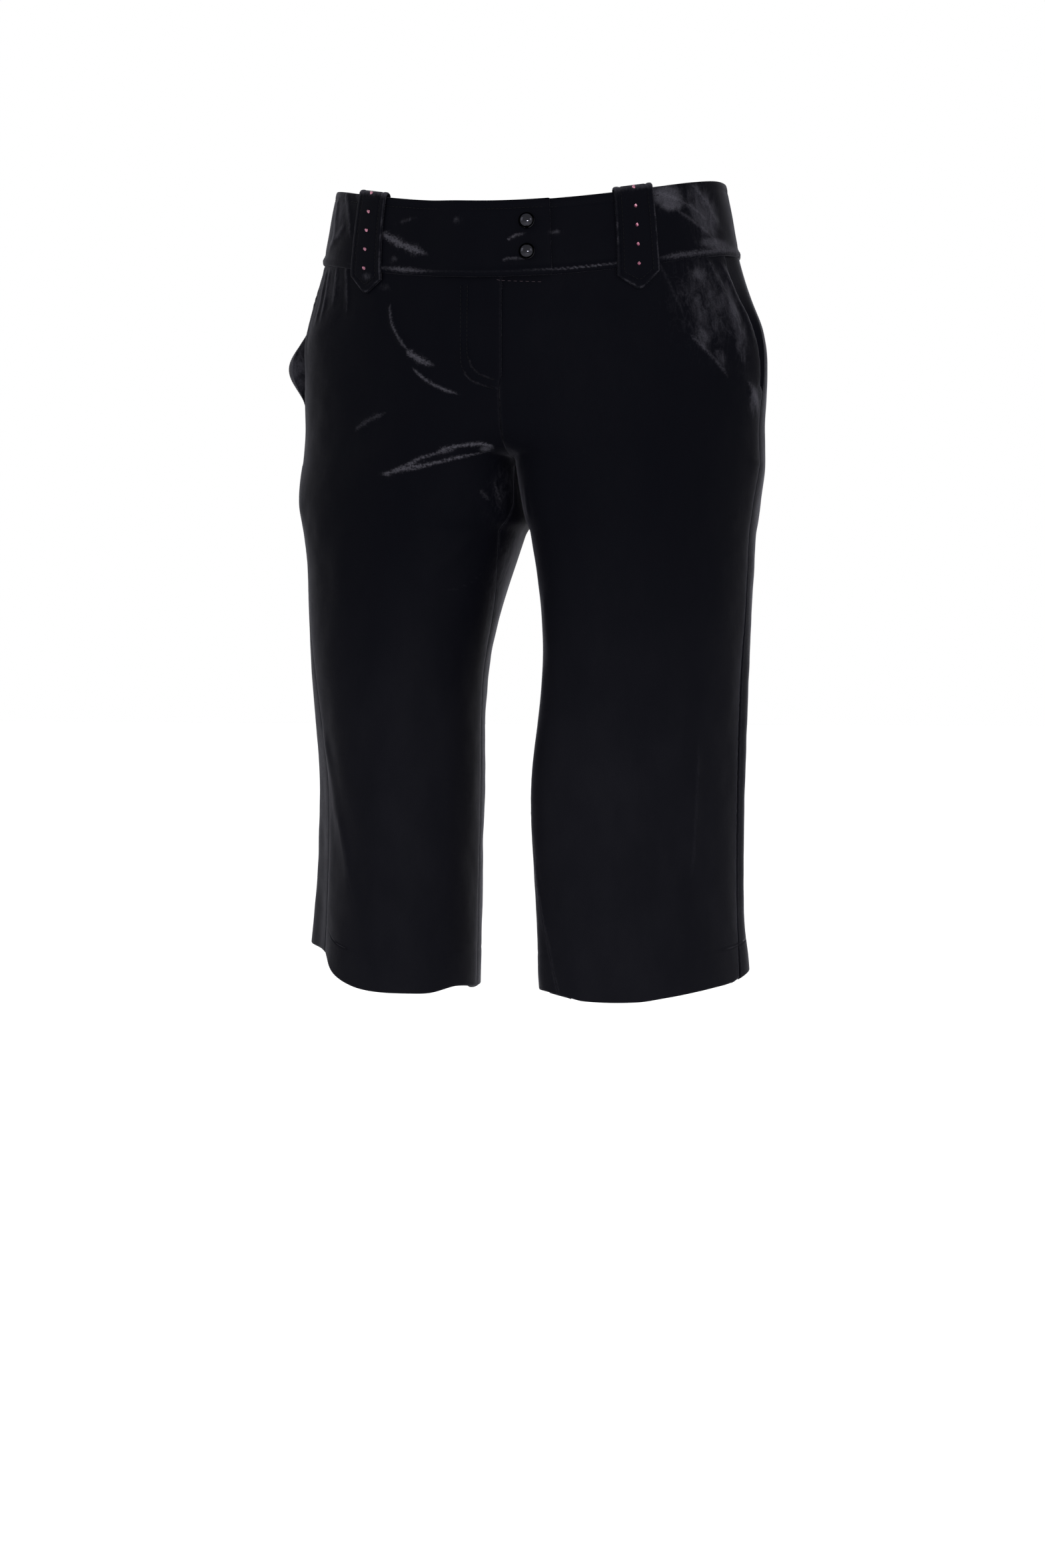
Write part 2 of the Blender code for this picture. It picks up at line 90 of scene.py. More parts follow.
LEFT_LEG = (
    Ring(-0.2075, 0.0883, 0.020, 0.0879, 0.077, 0.1304, 0.030, 0, 8),
    Ring(-0.235, 0.0886, 0.020, 0.0834, 0.076, 0.124, 0.032, 0, 10),
    Ring(-0.2505, 0.0890, 0.0194, 0.0808, 0.0754, 0.118, 0.0314, 0, 10),
    Ring(-0.260, 0.09015, 0.019, 0.07835, 0.075, 0.115, 0.031, 0, 10),
    Ring(-0.320, 0.0932, 0.023, 0.0728, 0.069, 0.098, 0.030, 0, 10),
    Ring(-0.370, 0.09235, 0.027, 0.07065, 0.066, 0.086, 0.030, 2, 10),
    Ring(-0.450, 0.08775, 0.031, 0.07365, 0.063, 0.077, 0.030, 8, 10),
    Ring(-0.530, 0.0900, 0.034, 0.0716, 0.063, 0.072, 0.030, 26, 10),
    Ring(-0.610, 0.09325, 0.036, 0.07155, 0.063, 0.070, 0.030, 46, 10),
)
RIGHT_LEG = (
    Ring(-0.2075, 0.0882, 0.020, 0.0880, 0.077, 0.1306, 0.0292, 0, 8),
    Ring(-0.235, 0.0860, 0.019, 0.0890, 0.077, 0.126, 0.020, 14, 10),
    Ring(-0.2505, 0.08425, 0.0172, 0.08875, 0.077, 0.121, 0.0163, 25, 11),
    Ring(-0.260, 0.0865, 0.016, 0.0855, 0.077, 0.118, 0.014, 27, 12),
    Ring(-0.320, 0.09475, 0.016, 0.07475, 0.075, 0.102, 0.012, 7, 20),
    Ring(-0.370, 0.0976, 0.018, 0.0676, 0.075, 0.092, 0.010, 1, 33),
    Ring(-0.450, 0.09325, 0.021, 0.06205, 0.077, 0.087, 0.010, 0, 37),
    Ring(-0.530, 0.0936, 0.023, 0.0610, 0.077, 0.084, 0.010, 0, 35),
    Ring(-0.610, 0.0965, 0.024, 0.0625, 0.076, 0.082, 0.010, 0, 35),
)
RINGS = {LEFT: TRUNK + LEFT_LEG, RIGHT: TRUNK + RIGHT_LEG}

CLOTH = 0.0008  # the velvet without its pile
SEAM = 0.0001  # between two pieces
BAND_HEIGHT = 0.055
FRONT_DIP, BACK_RISE = 0.0222, 0.006  # how the band's upper edge dips in front and rises behind
CROTCH, HEM = -0.205, -0.606
HEM_DEPTH = 0.030
HEM_TURN = 0.0015  # radius of the hem's fold, and of the seams' below
SEAM_TURN = 0.00065
ALLOWANCE = 0.010
POCKET_TOP, POCKET_FOOT, POCKET_BOTTOM = 0.030, 0.006, -0.155
FLY_LAP = 0.0022  # the wearer's right front laps past the centre by this, down to the fly's end
FLY_END = -0.157
FLY_PROUD, FLY_SUNK = 0.0009, 0.0005  # the upper and the lower front where they lap

# The cut's main levels, from the waistband to the hem
CUT_ANGLES = (76, 62, 48, 34, 20, 8)
CUT_STEP = 0.016
TRUNK_LEVELS, LEG_LEVELS = 4, 13
HEM_LEVELS = (HEM_DEPTH + 0.001, HEM_DEPTH - 0.001, HEM_DEPTH / 2, 0.0)
DIP_LEVELS, LIFT_LEVELS = 8, 7  # over which the band's dip and the hem's uneven edge fade out
TRUNK_STEP, LEG_STEP, COLUMN_STEP = 0.0020, 0.0030, 0.0024  # spacing of the sheets' points

# How far the hem lies above HEM, round each leg from the inseam by way of the front
Lift = namedtuple("Lift", "angle left right")
HEM_LIFTS = (
    Lift(0, 0.009, 0.007),
    Lift(28, 0.010, 0.010),
    Lift(50, 0.0075, 0.0065),
    Lift(64, 0.0045, 0.0065),
    Lift(95, 0.0035, 0.008),
    Lift(112, 0.006, 0.0115),
    Lift(130, 0.009, 0.019),
    Lift(143, 0.011, 0.031),
    Lift(160, 0.013, 0.035),
    Lift(190, 0.019, 0.036),
    Lift(214, 0.016, 0.032),
    Lift(250, 0.009, 0.017),
    Lift(310, 0.006, 0.007),
    Lift(360, 0.009, 0.007),
)

# The largest folds, which stand up and down the sides
Fold = namedtuple("Fold", "side pieces top bottom angle spread rise")
FOLDS = (
    Fold(RIGHT, ("back", "facing"), -0.098, -0.166, 186, 16, 0.0180),  # the pocket stands open
    Fold(RIGHT, ("front", "back"), -0.175, -0.290, 176, 34, 0.004),
    Fold(RIGHT, ("back",), -0.360, -0.640, 172, 13, 0.006),  # the back rolls out beside the side seam
    Fold(LEFT, ("front", "back", "facing"), -0.070, -0.190, 172, 30, 0.0052),
    Fold(LEFT, ("back",), -0.230, -0.640, 180, 11, 0.003),
    Fold(RIGHT, ("back",), -0.500, -0.665, 176, 15, 0.0080),  # the hem's outer corners flare
    Fold(LEFT, ("back",), -0.540, -0.640, 190, 18, 0.0045),
)

# Creases in millimetres and degrees: three places that each passes, its half width and its rise, and the
# half width and strength of the highlight painted along it
FAR_OFF = 9.0  # half widths from a painted highlight line where there is none
Crease = namedtuple("Crease", "turn_1 high_1 turn_2 high_2 turn_3 high_3 wide rise line shine")
PANEL_CREASES = {
    RIGHT: (
        # the long fold across the thigh, with a painted highlight along each of its edges
        (90, -219, 70, -209, 54, -202, 5.5, 3.4, 0, 0),
        (92, -234, 76, -229, 60, -219, 8, -1.6, 0, 0),
        (91, -217, 77, -210.5, 63, -199, 2, 0.5, 0.9, 0.9),
        (68, -204, 57.5, -196.8, 38.5, -201.2, 2.2, 0.5, 1.05, 1.0),
        (91, -218, 62, -209, 39, -201.4, 2, 0.4, 0.9, 0.95),
        # curved creases from under the wearer's right tab
        (120, -92, 116, -112, 109, -131, 3, 1.9, 0.8, 0.55),
        (111, -127, 107, -134, 101, -140, 3.2, 1.7, 1.5, 0.85),
        (108, -140, 99.5, -153, 88, -162, 3, 1.6, 0.8, 0.75),
        (121, -185, 116, -177, 110.5, -172.5, 4.5, 1.1, 1.2, 0.28),
        (104, -120, 96, -132, 88, -138, 6, -1.0, 0, 0),
        # gathers under the band at the wearer's right side
        (158, -60, 156, -82, 154, -108, 2.6, 0.9, 0.8, 0.25),
        (154, -60, 152, -80, 150, -104, 2.2, 1.0, 0.7, 0.35),
        (148, -60, 146, -75, 145, -94, 2.2, 0.9, 0.7, 0.3),
        (142, -60, 139, -78, 136, -100, 2.4, 1.1, 0.7, 0.3),
        (165, -62, 165, -95, 162, -150, 4.5, 1.2, 1.0, 0.15),
        # the fly's rows of stitches where they curve in to its foot, pressed in with painted highlights along
        # them
        (92.5, -133, 88.4, -145.2, 79.5, -151.6, 1.2, -0.2, 0.5, 0.16),
        (92.5, -142, 88.0, -151.8, 78.0, -157.6, 1.2, -0.2, 0.5, 0.2),
        # at the crotch
        (31, -221, 29.5, -231, 27.5, -240, 2.2, 0.8, 0.7, 0.24),
        (41.5, -229, 39, -233, 36, -237, 2.4, 0.8, 1.1, 0.22),
        (58, -222, 48, -236, 40, -256, 5, -0.8, 0, 0),
        # down the front of the legs
        (143, -398, 128, -468, 107, -540, 7, 1.1, 1.2, 0.05),
        (126, -468, 119, -494, 113, -520, 4, 0.8, 1.0, 0.05),
        (44, -262, 58, -284, 74, -296, 6, 0.7, 0, 0),
        (30, -286, 42, -299, 60, -303, 6, 0.6, 0.6, 0.06),
        (118, -236, 116, -390, 108, -560, 17, 1.0, 0, 0),
        # the seat, the backs of the legs and the knees
        (322, -190, 292, -222, 244, -232, 8, -2.4, 0, 0),
        (328, -212, 300, -246, 254, -258, 6, 2.4, 1.2, 0.3),
        (334, -240, 312, -276, 280, -302, 6, 1.5, 1.0, 0.2),
        (246, -268, 250, -400, 256, -560, 14, 2.0, 0, 0),
        (232, -392, 256, -401, 288, -388, 6, 1.2, 1.0, 0.14),
        (208, -444, 226, -452, 246, -449, 4, 0.9, 0, 0),
        (206, -426, 232, -436, 262, -430, 6, -1.2, 0, 0),
        (206, -170, 214, -230, 216, -330, 10, -1.5, 0, 0),
        (204, -60, 207, -82, 212, -106, 3.4, 1.2, 0.9, 0.25),
        (236, -58, 232, -78, 226, -100, 3.6, 0.9, 0.8, 0.2),
    ),
    LEFT: (
        # at the crotch
        (27, -226, 25, -238, 24, -252, 2.5, 0.7, 0.6, 0.16),
        (42, -198, 26, -208, 16, -214, 3.2, 0.9, 0, 0),
        (76, -190, 50, -204, 30, -222, 6, 0.8, 0, 0),
        # the wearer's left hip
        (133, -62, 136, -82, 138, -108, 3.0, 1.0, 0.9, 0.10),
        (142, -62, 146, -88, 150, -118, 4.0, 1.1, 0, 0),
        (153, -60, 157, -86, 159, -124, 3.4, 1.4, 0.8, 0.3),
        (160, -60, 164, -88, 166, -130, 3.2, 1.3, 0.8, 0.25),
        (138, -117, 144, -131, 151, -148, 4.0, 1.4, 1.0, 0.35),
        (140, -134, 152, -144, 166, -150, 6, 1.2, 0, 0),
        (160, -148, 165, -158, 170, -174, 3.2, 1.2, 1.1, 0.4),
        (118, -120, 134, -150, 158, -172, 9, -1.2, 0, 0),
        # down the front of the legs
        (132, -412, 131, -470, 128, -516, 5, 1.0, 1.2, 0.06),
        (66, -250, 74, -400, 78, -560, 17, 0.9, 0, 0),
        (116, -300, 122, -400, 118, -520, 12, -0.8, 0, 0),
        (26, -300, 34, -350, 52, -390, 8, 0.8, 0, 0),
        (20, -500, 27, -530, 42, -572, 4, 0.9, 0.8, 0.12),
        # the seat, the backs of the legs and the knees
        (326, -186, 296, -224, 252, -240, 8, -2.6, 0, 0),
        (330, -206, 309, -238, 272, -251, 6, 2.2, 1.0, 0.22),
        (336, -236, 320, -262, 300, -279, 5, 1.4, 0.9, 0.12),
        (300, -258, 276, -272, 238, -276, 7, 1.4, 0, 0),
        (252, -262, 256, -400, 250, -560, 15, 2.2, 0, 0),
        (214, -414, 238, -421, 262, -415, 5, 1.3, 1.0, 0.10),
        (222, -436, 250, -444, 290, -430, 6, -1.3, 0, 0),
        (288, -300, 300, -410, 304, -540, 11, -1.4, 0, 0),
        (196, -62, 200, -84, 206, -112, 3.4, 1.1, 0.9, 0.25),
        (226, -60, 224, -76, 220, -96, 3.4, 0.9, 0.8, 0.2),
        (262, -58, 256, -84, 244, -120, 6, 1.0, 0, 0),
    ),
}

# Crushed places in millimetres and degrees, painted lighter: painted sheen where the pile is crushed, and
# painted light in a few shaded recesses
Patch = namedtuple("Patch", "turn high wide tall lean strength")
PANEL_PATCHES = {
    RIGHT: (
        (148, -76, 17, 20, 4, 0.45),
        (160, -112, 12, 42, 0, 0.30),
        (123, -80, 6, 4, 0, 0.45),
        # painted highlights at the ends of the fold across the thigh
        (46, -200, 5, 2.6, 0, 1.0),
        (90, -217.5, 6, 2.2, 0, 0.9),
        # painted light on the open pocket, which lies in shade
        (183, -132, 19, 36, 0, 0.55),
        (171, -130, 16, 34, 0, 0.70),
        # painted light where the crotch lies in shade, on the front and on the back between the legs
        (24, -230, 16, 24, 0, 0.45),
        (354, -243, 18, 32, 0, 1.0),
        (9, -288, 20, 44, 0, 0.60),
        (306, -250, 20, 12, 20, 0.40),
        (220, -90, 24, 22, 0, 0.30),
        (248, -408, 20, 12, 0, 0.25),
    ),
    LEFT: (
        (149.5, -92, 34, 38, 14, 0.60),
        (147, -73, 13, 8, 10, 0.72),
        (142.5, -119, 8, 12, 30, 0.72),
        (148, -133, 7, 9, 30, 0.66),
        (159, -102, 10, 42, 6, 0.75),
        (166, -161, 8, 14, 10, 0.85),
        (308, -252, 20, 12, -20, 0.40),
        (215, -96, 26, 26, 0, 0.35),
        (246, -416, 20, 14, 0, 0.25),
    ),
}


def smooth(x):
    x = np.clip(x, 0.0, 1.0)
    return x * x * (3 - 2 * x)


def on_curve(places, values, at):
    """Values at an array of places, on a smooth curve through a table whose places rise."""
    places, values = np.asarray(places, float), np.asarray(values, float)
    at = np.clip(at, places[0], places[-1])
    k = np.clip(np.searchsorted(places, at) - 1, 0, len(places) - 2)
    low = np.maximum(np.arange(len(places)) - 1, 0)
    high = np.minimum(np.arange(len(places)) + 1, len(places) - 1)
    slopes = (values[high] - values[low]) / (places[high] - places[low])
    wide = places[k + 1] - places[k]
    t = (at - places[k]) / wide
    bend = slopes[k] * t * (1 - t) ** 2 - slopes[k + 1] * t * t * (1 - t)
    return values[k] * (1 + 2 * t) * (1 - t) ** 2 + values[k + 1] * t * t * (3 - 2 * t) + wide * bend


def ring_value(side, name, height):
    rows = RINGS[side][::-1]
    return on_curve([row.height for row in rows], [getattr(row, name) for row in rows], height)


def bare(side, height, angle):
    """Points of the outer face without its folds: angle 0 is the inseam, 90 the front and 180 the side."""
    height, angle = np.broadcast_arrays(np.asarray(height, float), np.asarray(angle, float))
    turn = np.radians(angle)
    front, back = ring_value(side, "front", height), ring_value(side, "back", height)
    across = ring_value(side, "out", height) - ring_value(side, "half_width", height) * np.cos(turn)
    along = ring_value(side, "ahead", height) + ring_value(side, "skew", height) * np.cos(turn)
    along = along + np.where(np.sin(turn) > 0, front, back) * np.sin(turn)
    return np.stack((side * across, -along, height), axis=-1)


def outward(side, height, angle):
    by_angle = bare(side, height, angle + 0.5) - bare(side, height, angle - 0.5)
    by_height = bare(side, height + 0.001, angle) - bare(side, height - 0.001, angle)
    facing = np.cross(by_angle, by_height) * side
    return facing / np.linalg.norm(facing, axis=-1, keepdims=True)


def relief(side, height, angle, piece):
    """How far the largest folds lift a piece off its plain form."""
    rise = np.zeros(np.broadcast(height, angle).shape)
    for fold in FOLDS:
        if fold.side == side and piece in fold.pieces:
            share = np.clip((fold.top - height) / (fold.top - fold.bottom), 0, 1)
            off = (angle - fold.angle) / fold.spread
            rise = rise + fold.rise * np.sin(math.pi * share) ** 2 * np.exp(-off * off)
    return rise


def near_line(points, line):
    """Each point's distance from a line of points, and the share of the line that has passed there."""
    step = line[1:] - line[:-1]
    away = points[:, None] - line[:-1]
    share = np.clip((away * step).sum(-1) / (step * step).sum(-1), 0, 1)
    gap = np.linalg.norm(away - share[..., None] * step, axis=-1)
    k = gap.argmin(axis=1)
    every = np.arange(len(points))
    return gap[every, k], (k + share[every, k]) / len(step)


def crease_line(side, crease):
    s = np.linspace(0, 1, 25)
    first, middle, last = (1 - s) * (1 - 2 * s), 4 * s * (1 - s), s * (2 * s - 1)
    turn = first * crease.turn_1 + middle * crease.turn_2 + last * crease.turn_3
    high = first * crease.high_1 + middle * crease.high_2 + last * crease.high_3
    return bare(side, high / 1000, turn)


def worn(points, side, creases, patches):
    """At points of one side: how far its creases lift the cloth, how far off the nearest painted highlight is
    in half widths, how strong that highlight is, and how much the pile is crushed and painted lighter."""
    flat = points.reshape(-1, 3)
    rise, shine, crush_and_painted_light = (np.zeros(len(flat)) for _ in range(3))
    line = np.full(len(flat), FAR_OFF)
    for crease in (Crease(*row) for row in creases[side]):
        path = crease_line(side, crease)
        reach = max(crease.wide * 5, 12) / 1000
        close = np.flatnonzero(((flat > path.min(0) - reach) & (flat < path.max(0) + reach)).all(axis=1))
        if not len(close):
            continue
        gap, share = near_line(flat[close], path)
        fade = smooth(share / 0.16) * smooth((1 - share) / 0.26)
        uneven = 1 + 0.22 * np.sin(share * 17 + crease.turn_1)
        off = gap * 1000 / (crease.wide * (0.75 + 0.5 * share))
        hump = np.exp(-off * off) - 0.28 * np.exp(-(off / 2.3) ** 2)
        rise[close] += crease.rise / 1000 * fade * uneven * hump
        if crease.line:
            off = gap * 1000 / (crease.line * (0.5 + 0.7 * fade * uneven))
            nearer = off < line[close]
            line[close] = np.where(nearer, off, line[close])
            shine[close] = np.where(nearer, crease.shine * np.sqrt(fade), shine[close])
    for patch in (Patch(*row) for row in patches[side]):
        centre = bare(side, patch.high / 1000, patch.turn)
        across = bare(side, patch.high / 1000, patch.turn + 0.5) - centre
        across /= np.linalg.norm(across)
        lean = math.radians(patch.lean)
        x, z = (flat - centre) @ across * 1000, (flat - centre)[:, 2] * 1000
        behind = (flat - centre) @ np.cross(across, (0, 0, 1)) * 1000
        a = (x * math.cos(lean) + z * math.sin(lean)) / patch.wide
        b = (z * math.cos(lean) - x * math.sin(lean)) / patch.tall
        crush_and_painted_light = np.maximum(crush_and_painted_light, patch.strength * np.exp(-((a * a + b * b) ** 1.5)) * (np.abs(behind) < 40))
    return [array.reshape(points.shape[:-1]) for array in (rise, line, shine, crush_and_painted_light)]


def unrest(points):
    """The small unevenness of hanging cloth at each point, in metres."""
    flat = points.reshape(-1, 3)
    wide = [noise.noise(Vector(p) * 21) for p in flat]
    small = [noise.noise(Vector(p) * 62 + Vector((7, 3, 1))) for p in flat]
    return (0.0011 * np.array(wide) + 0.00035 * np.array(small)).reshape(points.shape[:-1])


def cut_angle(side, height, lap=0.0):
    """Where a side starts: at the centre plane above the crotch, at the inseam below it."""
    share = (ring_value(side, "out", height) - SEAM / 2 + lap) / ring_value(side, "half_width", height)
    return np.maximum(ring_value(side, "inseam", height), np.degrees(np.arccos(np.clip(share, -1, 1))))


def height_of_cut(angle):
    low, high = CROTCH, -0.085
    for _ in range(40):
        middle = (low + high) / 2
        low, high = (middle, high) if cut_angle(LEFT, middle) < angle else (low, middle)
    return (low + high) / 2


def cut_levels():
    near = [height_of_cut(angle) for angle in CUT_ANGLES] + [CROTCH]
    far = [CROTCH + CUT_STEP * (len(near) - 1 - k) for k in range(len(near))]
    top = -BAND_HEIGHT - SEAM
    legs = [CROTCH + (HEM + HEM_LEVELS[0] - CROTCH) * k / LEG_LEVELS for k in range(1, LEG_LEVELS)]
    legs += [HEM + up for up in HEM_LEVELS]
    shares = [k / TRUNK_LEVELS for k in range(TRUNK_LEVELS)]
    near = [top + (near[0] - top) * share for share in shares] + near + legs
    far = [top + (far[0] - top) * share for share in shares] + far + legs
    return np.array(near), np.array(far)


NEAR, FAR = cut_levels()
LAST = len(NEAR) - 1


def band_top(turn):
    """The height of the band's upper edge; turn is counted from the centre front."""
    lean = np.cos(np.radians(turn))
    return np.where(lean > 0, -FRONT_DIP, BACK_RISE) * lean**2


def hem_lift(side, angle):
    lifts = [row.left if side == LEFT else row.right for row in HEM_LIFTS]
    return on_curve([row.angle for row in HEM_LIFTS], lifts, angle)


def pocket_cut(side, height):
    """Degrees by which the pocket's edge lies ahead of the side seam."""
    share = smooth((-BAND_HEIGHT - height) / (-BAND_HEIGHT - POCKET_BOTTOM))
    gap = (POCKET_TOP + (POCKET_FOOT - POCKET_TOP) * share) * smooth((height - POCKET_BOTTOM) / 0.005)
    return np.degrees(gap / ring_value(side, "front", height))


def gap_angle(side, height):
    return np.degrees(SEAM / 2 / ring_value(side, "front", height))


def row_ends(side, behind, height):
    """The angles at which a row at this height starts and ends."""
    gap = gap_angle(side, height)
    above = height > CROTCH
    seam = 180 - ring_value(side, "side_seam", height)
    if behind:
        start = cut_angle(side, height)
        return np.where(above, 360 - start, 360 + start - gap), seam + gap
    lap = FLY_LAP * smooth((height - FLY_END) / 0.012) if side == RIGHT else 0.0
    return cut_angle(side, height, lap) + np.where(above, 0, gap), seam - gap - pocket_cut(side, height)


def laid(side, behind, k, u):
    """Heights and angles on a panel: k counts the cut's levels and u runs from the centre to the side."""
    levels = np.arange(LAST + 1)
    near, far = np.interp(k, levels, NEAR), np.interp(k, levels, FAR)
    height = far + (near - far) * (1 - u) ** 2
    start, end = row_ends(side, behind, height)
    height = height + smooth(1 - k / DIP_LEVELS) * band_top(start + (end - start) * u - 90)
    start, end = row_ends(side, behind, height)
    angle = start + (end - start) * u
    return height + smooth((k - LAST + LIFT_LEVELS) / LIFT_LEVELS) * hem_lift(side, angle % 360), angle


def panel_rows():
    """For each row of a panel's sheet its level, how far above that it lies, and how far inside. The rows
    run from under the band, down the outside, round the hem's fold and up the inside of the hem."""
    rows = [(0, 0.0045, 0.0), (0, 0.002, 0.0)]
    for k in range(LAST - len(HEM_LEVELS) + 1):
        span = max(NEAR[k] - NEAR[k + 1], FAR[k] - FAR[k + 1])
        count = math.ceil(span / (TRUNK_STEP if k < LAST / 2 else LEG_STEP))
        rows += [(k + j / count, 0.0, 0.0) for j in range(count)]

    def level(up):
        return float(np.interp(up, HEM_LEVELS[::-1], range(LAST, LAST - len(HEM_LEVELS), -1)))

    rows += [(level(up), 0.0, 0.0) for up in np.arange(HEM_LEVELS[0], HEM_TURN, -LEG_STEP * 0.8)]
    for bend in np.linspace(0, math.pi, 9):
        drop, sunk = HEM_TURN * math.sin(bend), HEM_TURN * (1 - math.cos(bend))
        rows.append((level(HEM_TURN), -drop, sunk))
    inside = np.linspace(HEM_TURN, HEM_DEPTH, 9)[1:]
    rows += [(level(up), 0.0, 2 * HEM_TURN) for up in inside]
    return np.array(rows).T


def edge_profile(turn_radius, allowance):
    """Across a turned-in edge from the end of its allowance to the face: distance inwards and depth."""
    bend = np.linspace(math.pi, 0, 8)
    inside = np.linspace(allowance, turn_radius, 5)[:-1]
    outside = turn_radius + np.array([0.0010, 0.0022, 0.0036, 0.0052])
    away = np.concatenate((inside, turn_radius * (1 - np.sin(bend)), outside))
    sunk = np.concatenate((np.full(4, 2 * turn_radius), turn_radius * (1 - np.cos(bend)), np.zeros(4)))
    return away, sunk


def mesh_of(name, points, faces, marks=None):
    """A mesh, with an attribute for each of its marks."""
    mesh = bpy.data.meshes.new(name)
    mesh.from_pydata(points, [], faces)
    for word, values in (marks or {}).items():
        values = values.astype(np.float32).ravel()
        mesh.attributes.new(word, "FLOAT", "POINT").data.foreach_set("value", values)
    return mesh


def put(name, data):
    """An object of a mesh, a lamp or a camera, in the scene."""
    piece = bpy.data.objects.new(name, data)
    bpy.context.scene.collection.objects.link(piece)
    return piece


def sheet_mesh(name, points, turned_over, thick, marks):
    """A thin sheet through a grid of points, listed from the top down and from left to right as seen from
    outside or, if turned over, from right to left."""
    rows, columns = points.shape[:2]
    index = np.arange(rows * columns).reshape(rows, columns)
    corners = (index[:-1, :-1], index[1:, :-1], index[1:, 1:], index[:-1, 1:])
    if turned_over:
        corners = corners[::-1]
    faces = np.stack([corner.ravel() for corner in corners], axis=1).tolist()
    mesh = mesh_of(name, points.reshape(-1, 3).tolist(), faces, marks)
    mesh.shade_smooth()
    piece = put(name, mesh)
    bpy.context.view_layer.objects.active = piece
    wall = piece.modifiers.new("wall", "SOLIDIFY")
    wall.thickness, wall.offset = thick, -1
    bpy.ops.object.modifier_apply(modifier="wall")
    return piece


EASINGS = 18


def settle(points, share):
    """Ease the turn from the hips into the legs, by the share given for each point."""
    eased = points.copy()
    for _ in range(EASINGS):
        eased[1:-1] = (eased[:-2] + 2 * eased[1:-1] + eased[2:]) / 4
    return points + (eased - points) * share[..., None]


PUCKER = 0.00012  # along the seams
CENTRE_SHINE, INSEAM_SHINE, SIDE_SHINE = 0.05, 0.12, 0.15  # strengths of the highlights painted along the seams
HEM_GROOVE, HEM_GROOVE_WIDE = 0.0003, 0.0014


def lay_panel(name, side, behind):
    """The sheet of a front or back, with its seams and hem turned in."""
    word = "back" if behind else "front"
    k, up, sunk = (column[:, None] for column in panel_rows())
    fine = np.linspace(0, 1, 129)[None, :]
    height, angle = laid(side, behind, k, fine)
    steps = np.linalg.norm(np.diff(bare(side, height, angle), axis=1), axis=-1)
    along = np.concatenate((np.zeros((len(k), 1)), np.cumsum(steps, axis=1)), axis=1)
    away, edge_sunk = edge_profile(SEAM_TURN, ALLOWANCE)
    inner = round((along[:, -1].max() - 2 * away[-1]) / COLUMN_STEP)
    share = np.arange(1, inner) / inner
    places = []
    for row in along:
        middle = away[-1] + (row[-1] - 2 * away[-1]) * share
        places.append(np.concatenate((away, middle, row[-1] - away[::-1])))
    u = np.array([np.interp(place, row, fine[0]) for place, row in zip(places, along)])
    column_sunk = np.concatenate((edge_sunk, np.zeros(inner - 1), edge_sunk[::-1]))
    height, angle = laid(side, behind, k, u)
    height = height + up
    points, facing = bare(side, height, angle), outward(side, height, angle)
    rise, line, shine, crush_and_painted_light = worn(points, side, PANEL_CREASES, PANEL_PATCHES)
    from_start = np.array(places)
    from_end = along[:, -1:] - from_start
    edge = np.minimum(from_start, from_end)
    pucker = np.sin(height * 760 + 3 * np.sin(height * 230)) * PUCKER - 0.0002
    calm = smooth(edge / 0.02) * smooth((np.abs(points[..., 0]) - 0.002) / 0.02)
    rise = rise + pucker * np.exp(-((edge / 0.0035) ** 2)) + unrest(points) * calm
    # painted highlights along the turned seams
    seam_line = np.abs(edge - SEAM_TURN - 0.0004) / 0.0006
    nearer = seam_line < line
    start_shine = np.where(height > CROTCH, CENTRE_SHINE, INSEAM_SHINE)
    seam_shine = np.where(from_start < from_end, start_shine, SIDE_SHINE)
    line, shine = np.where(nearer, seam_line, line), np.where(nearer, seam_shine, shine)
    stitched = np.interp(k, np.arange(LAST - 3, LAST + 1), HEM_LEVELS) - HEM_DEPTH
    rise = rise - HEM_GROOVE * np.exp(-((stitched / HEM_GROOVE_WIDE) ** 2)) * (k > LAST - 3.05)
    if not behind:
        closed = smooth((height - FLY_END) / 0.012)
        if side == RIGHT:
            rise = rise + FLY_PROUD * smooth(1 - from_start / 0.016) * closed
        else:
            rise = rise - FLY_SUNK * smooth(1 - from_start / 0.010) * closed
    lift = relief(side, height, angle, word) + rise - sunk - column_sunk
    share = np.exp(-(((height - CROTCH) / 0.018) ** 2)) * smooth((edge - 0.004) / 0.02)
    marks = {"line": line, "shine": shine, "crush_and_painted_light": crush_and_painted_light}
    points = settle(points + facing * lift[..., None], share)
    return sheet_mesh(name, points, (side == RIGHT) != behind, CLOTH, marks)


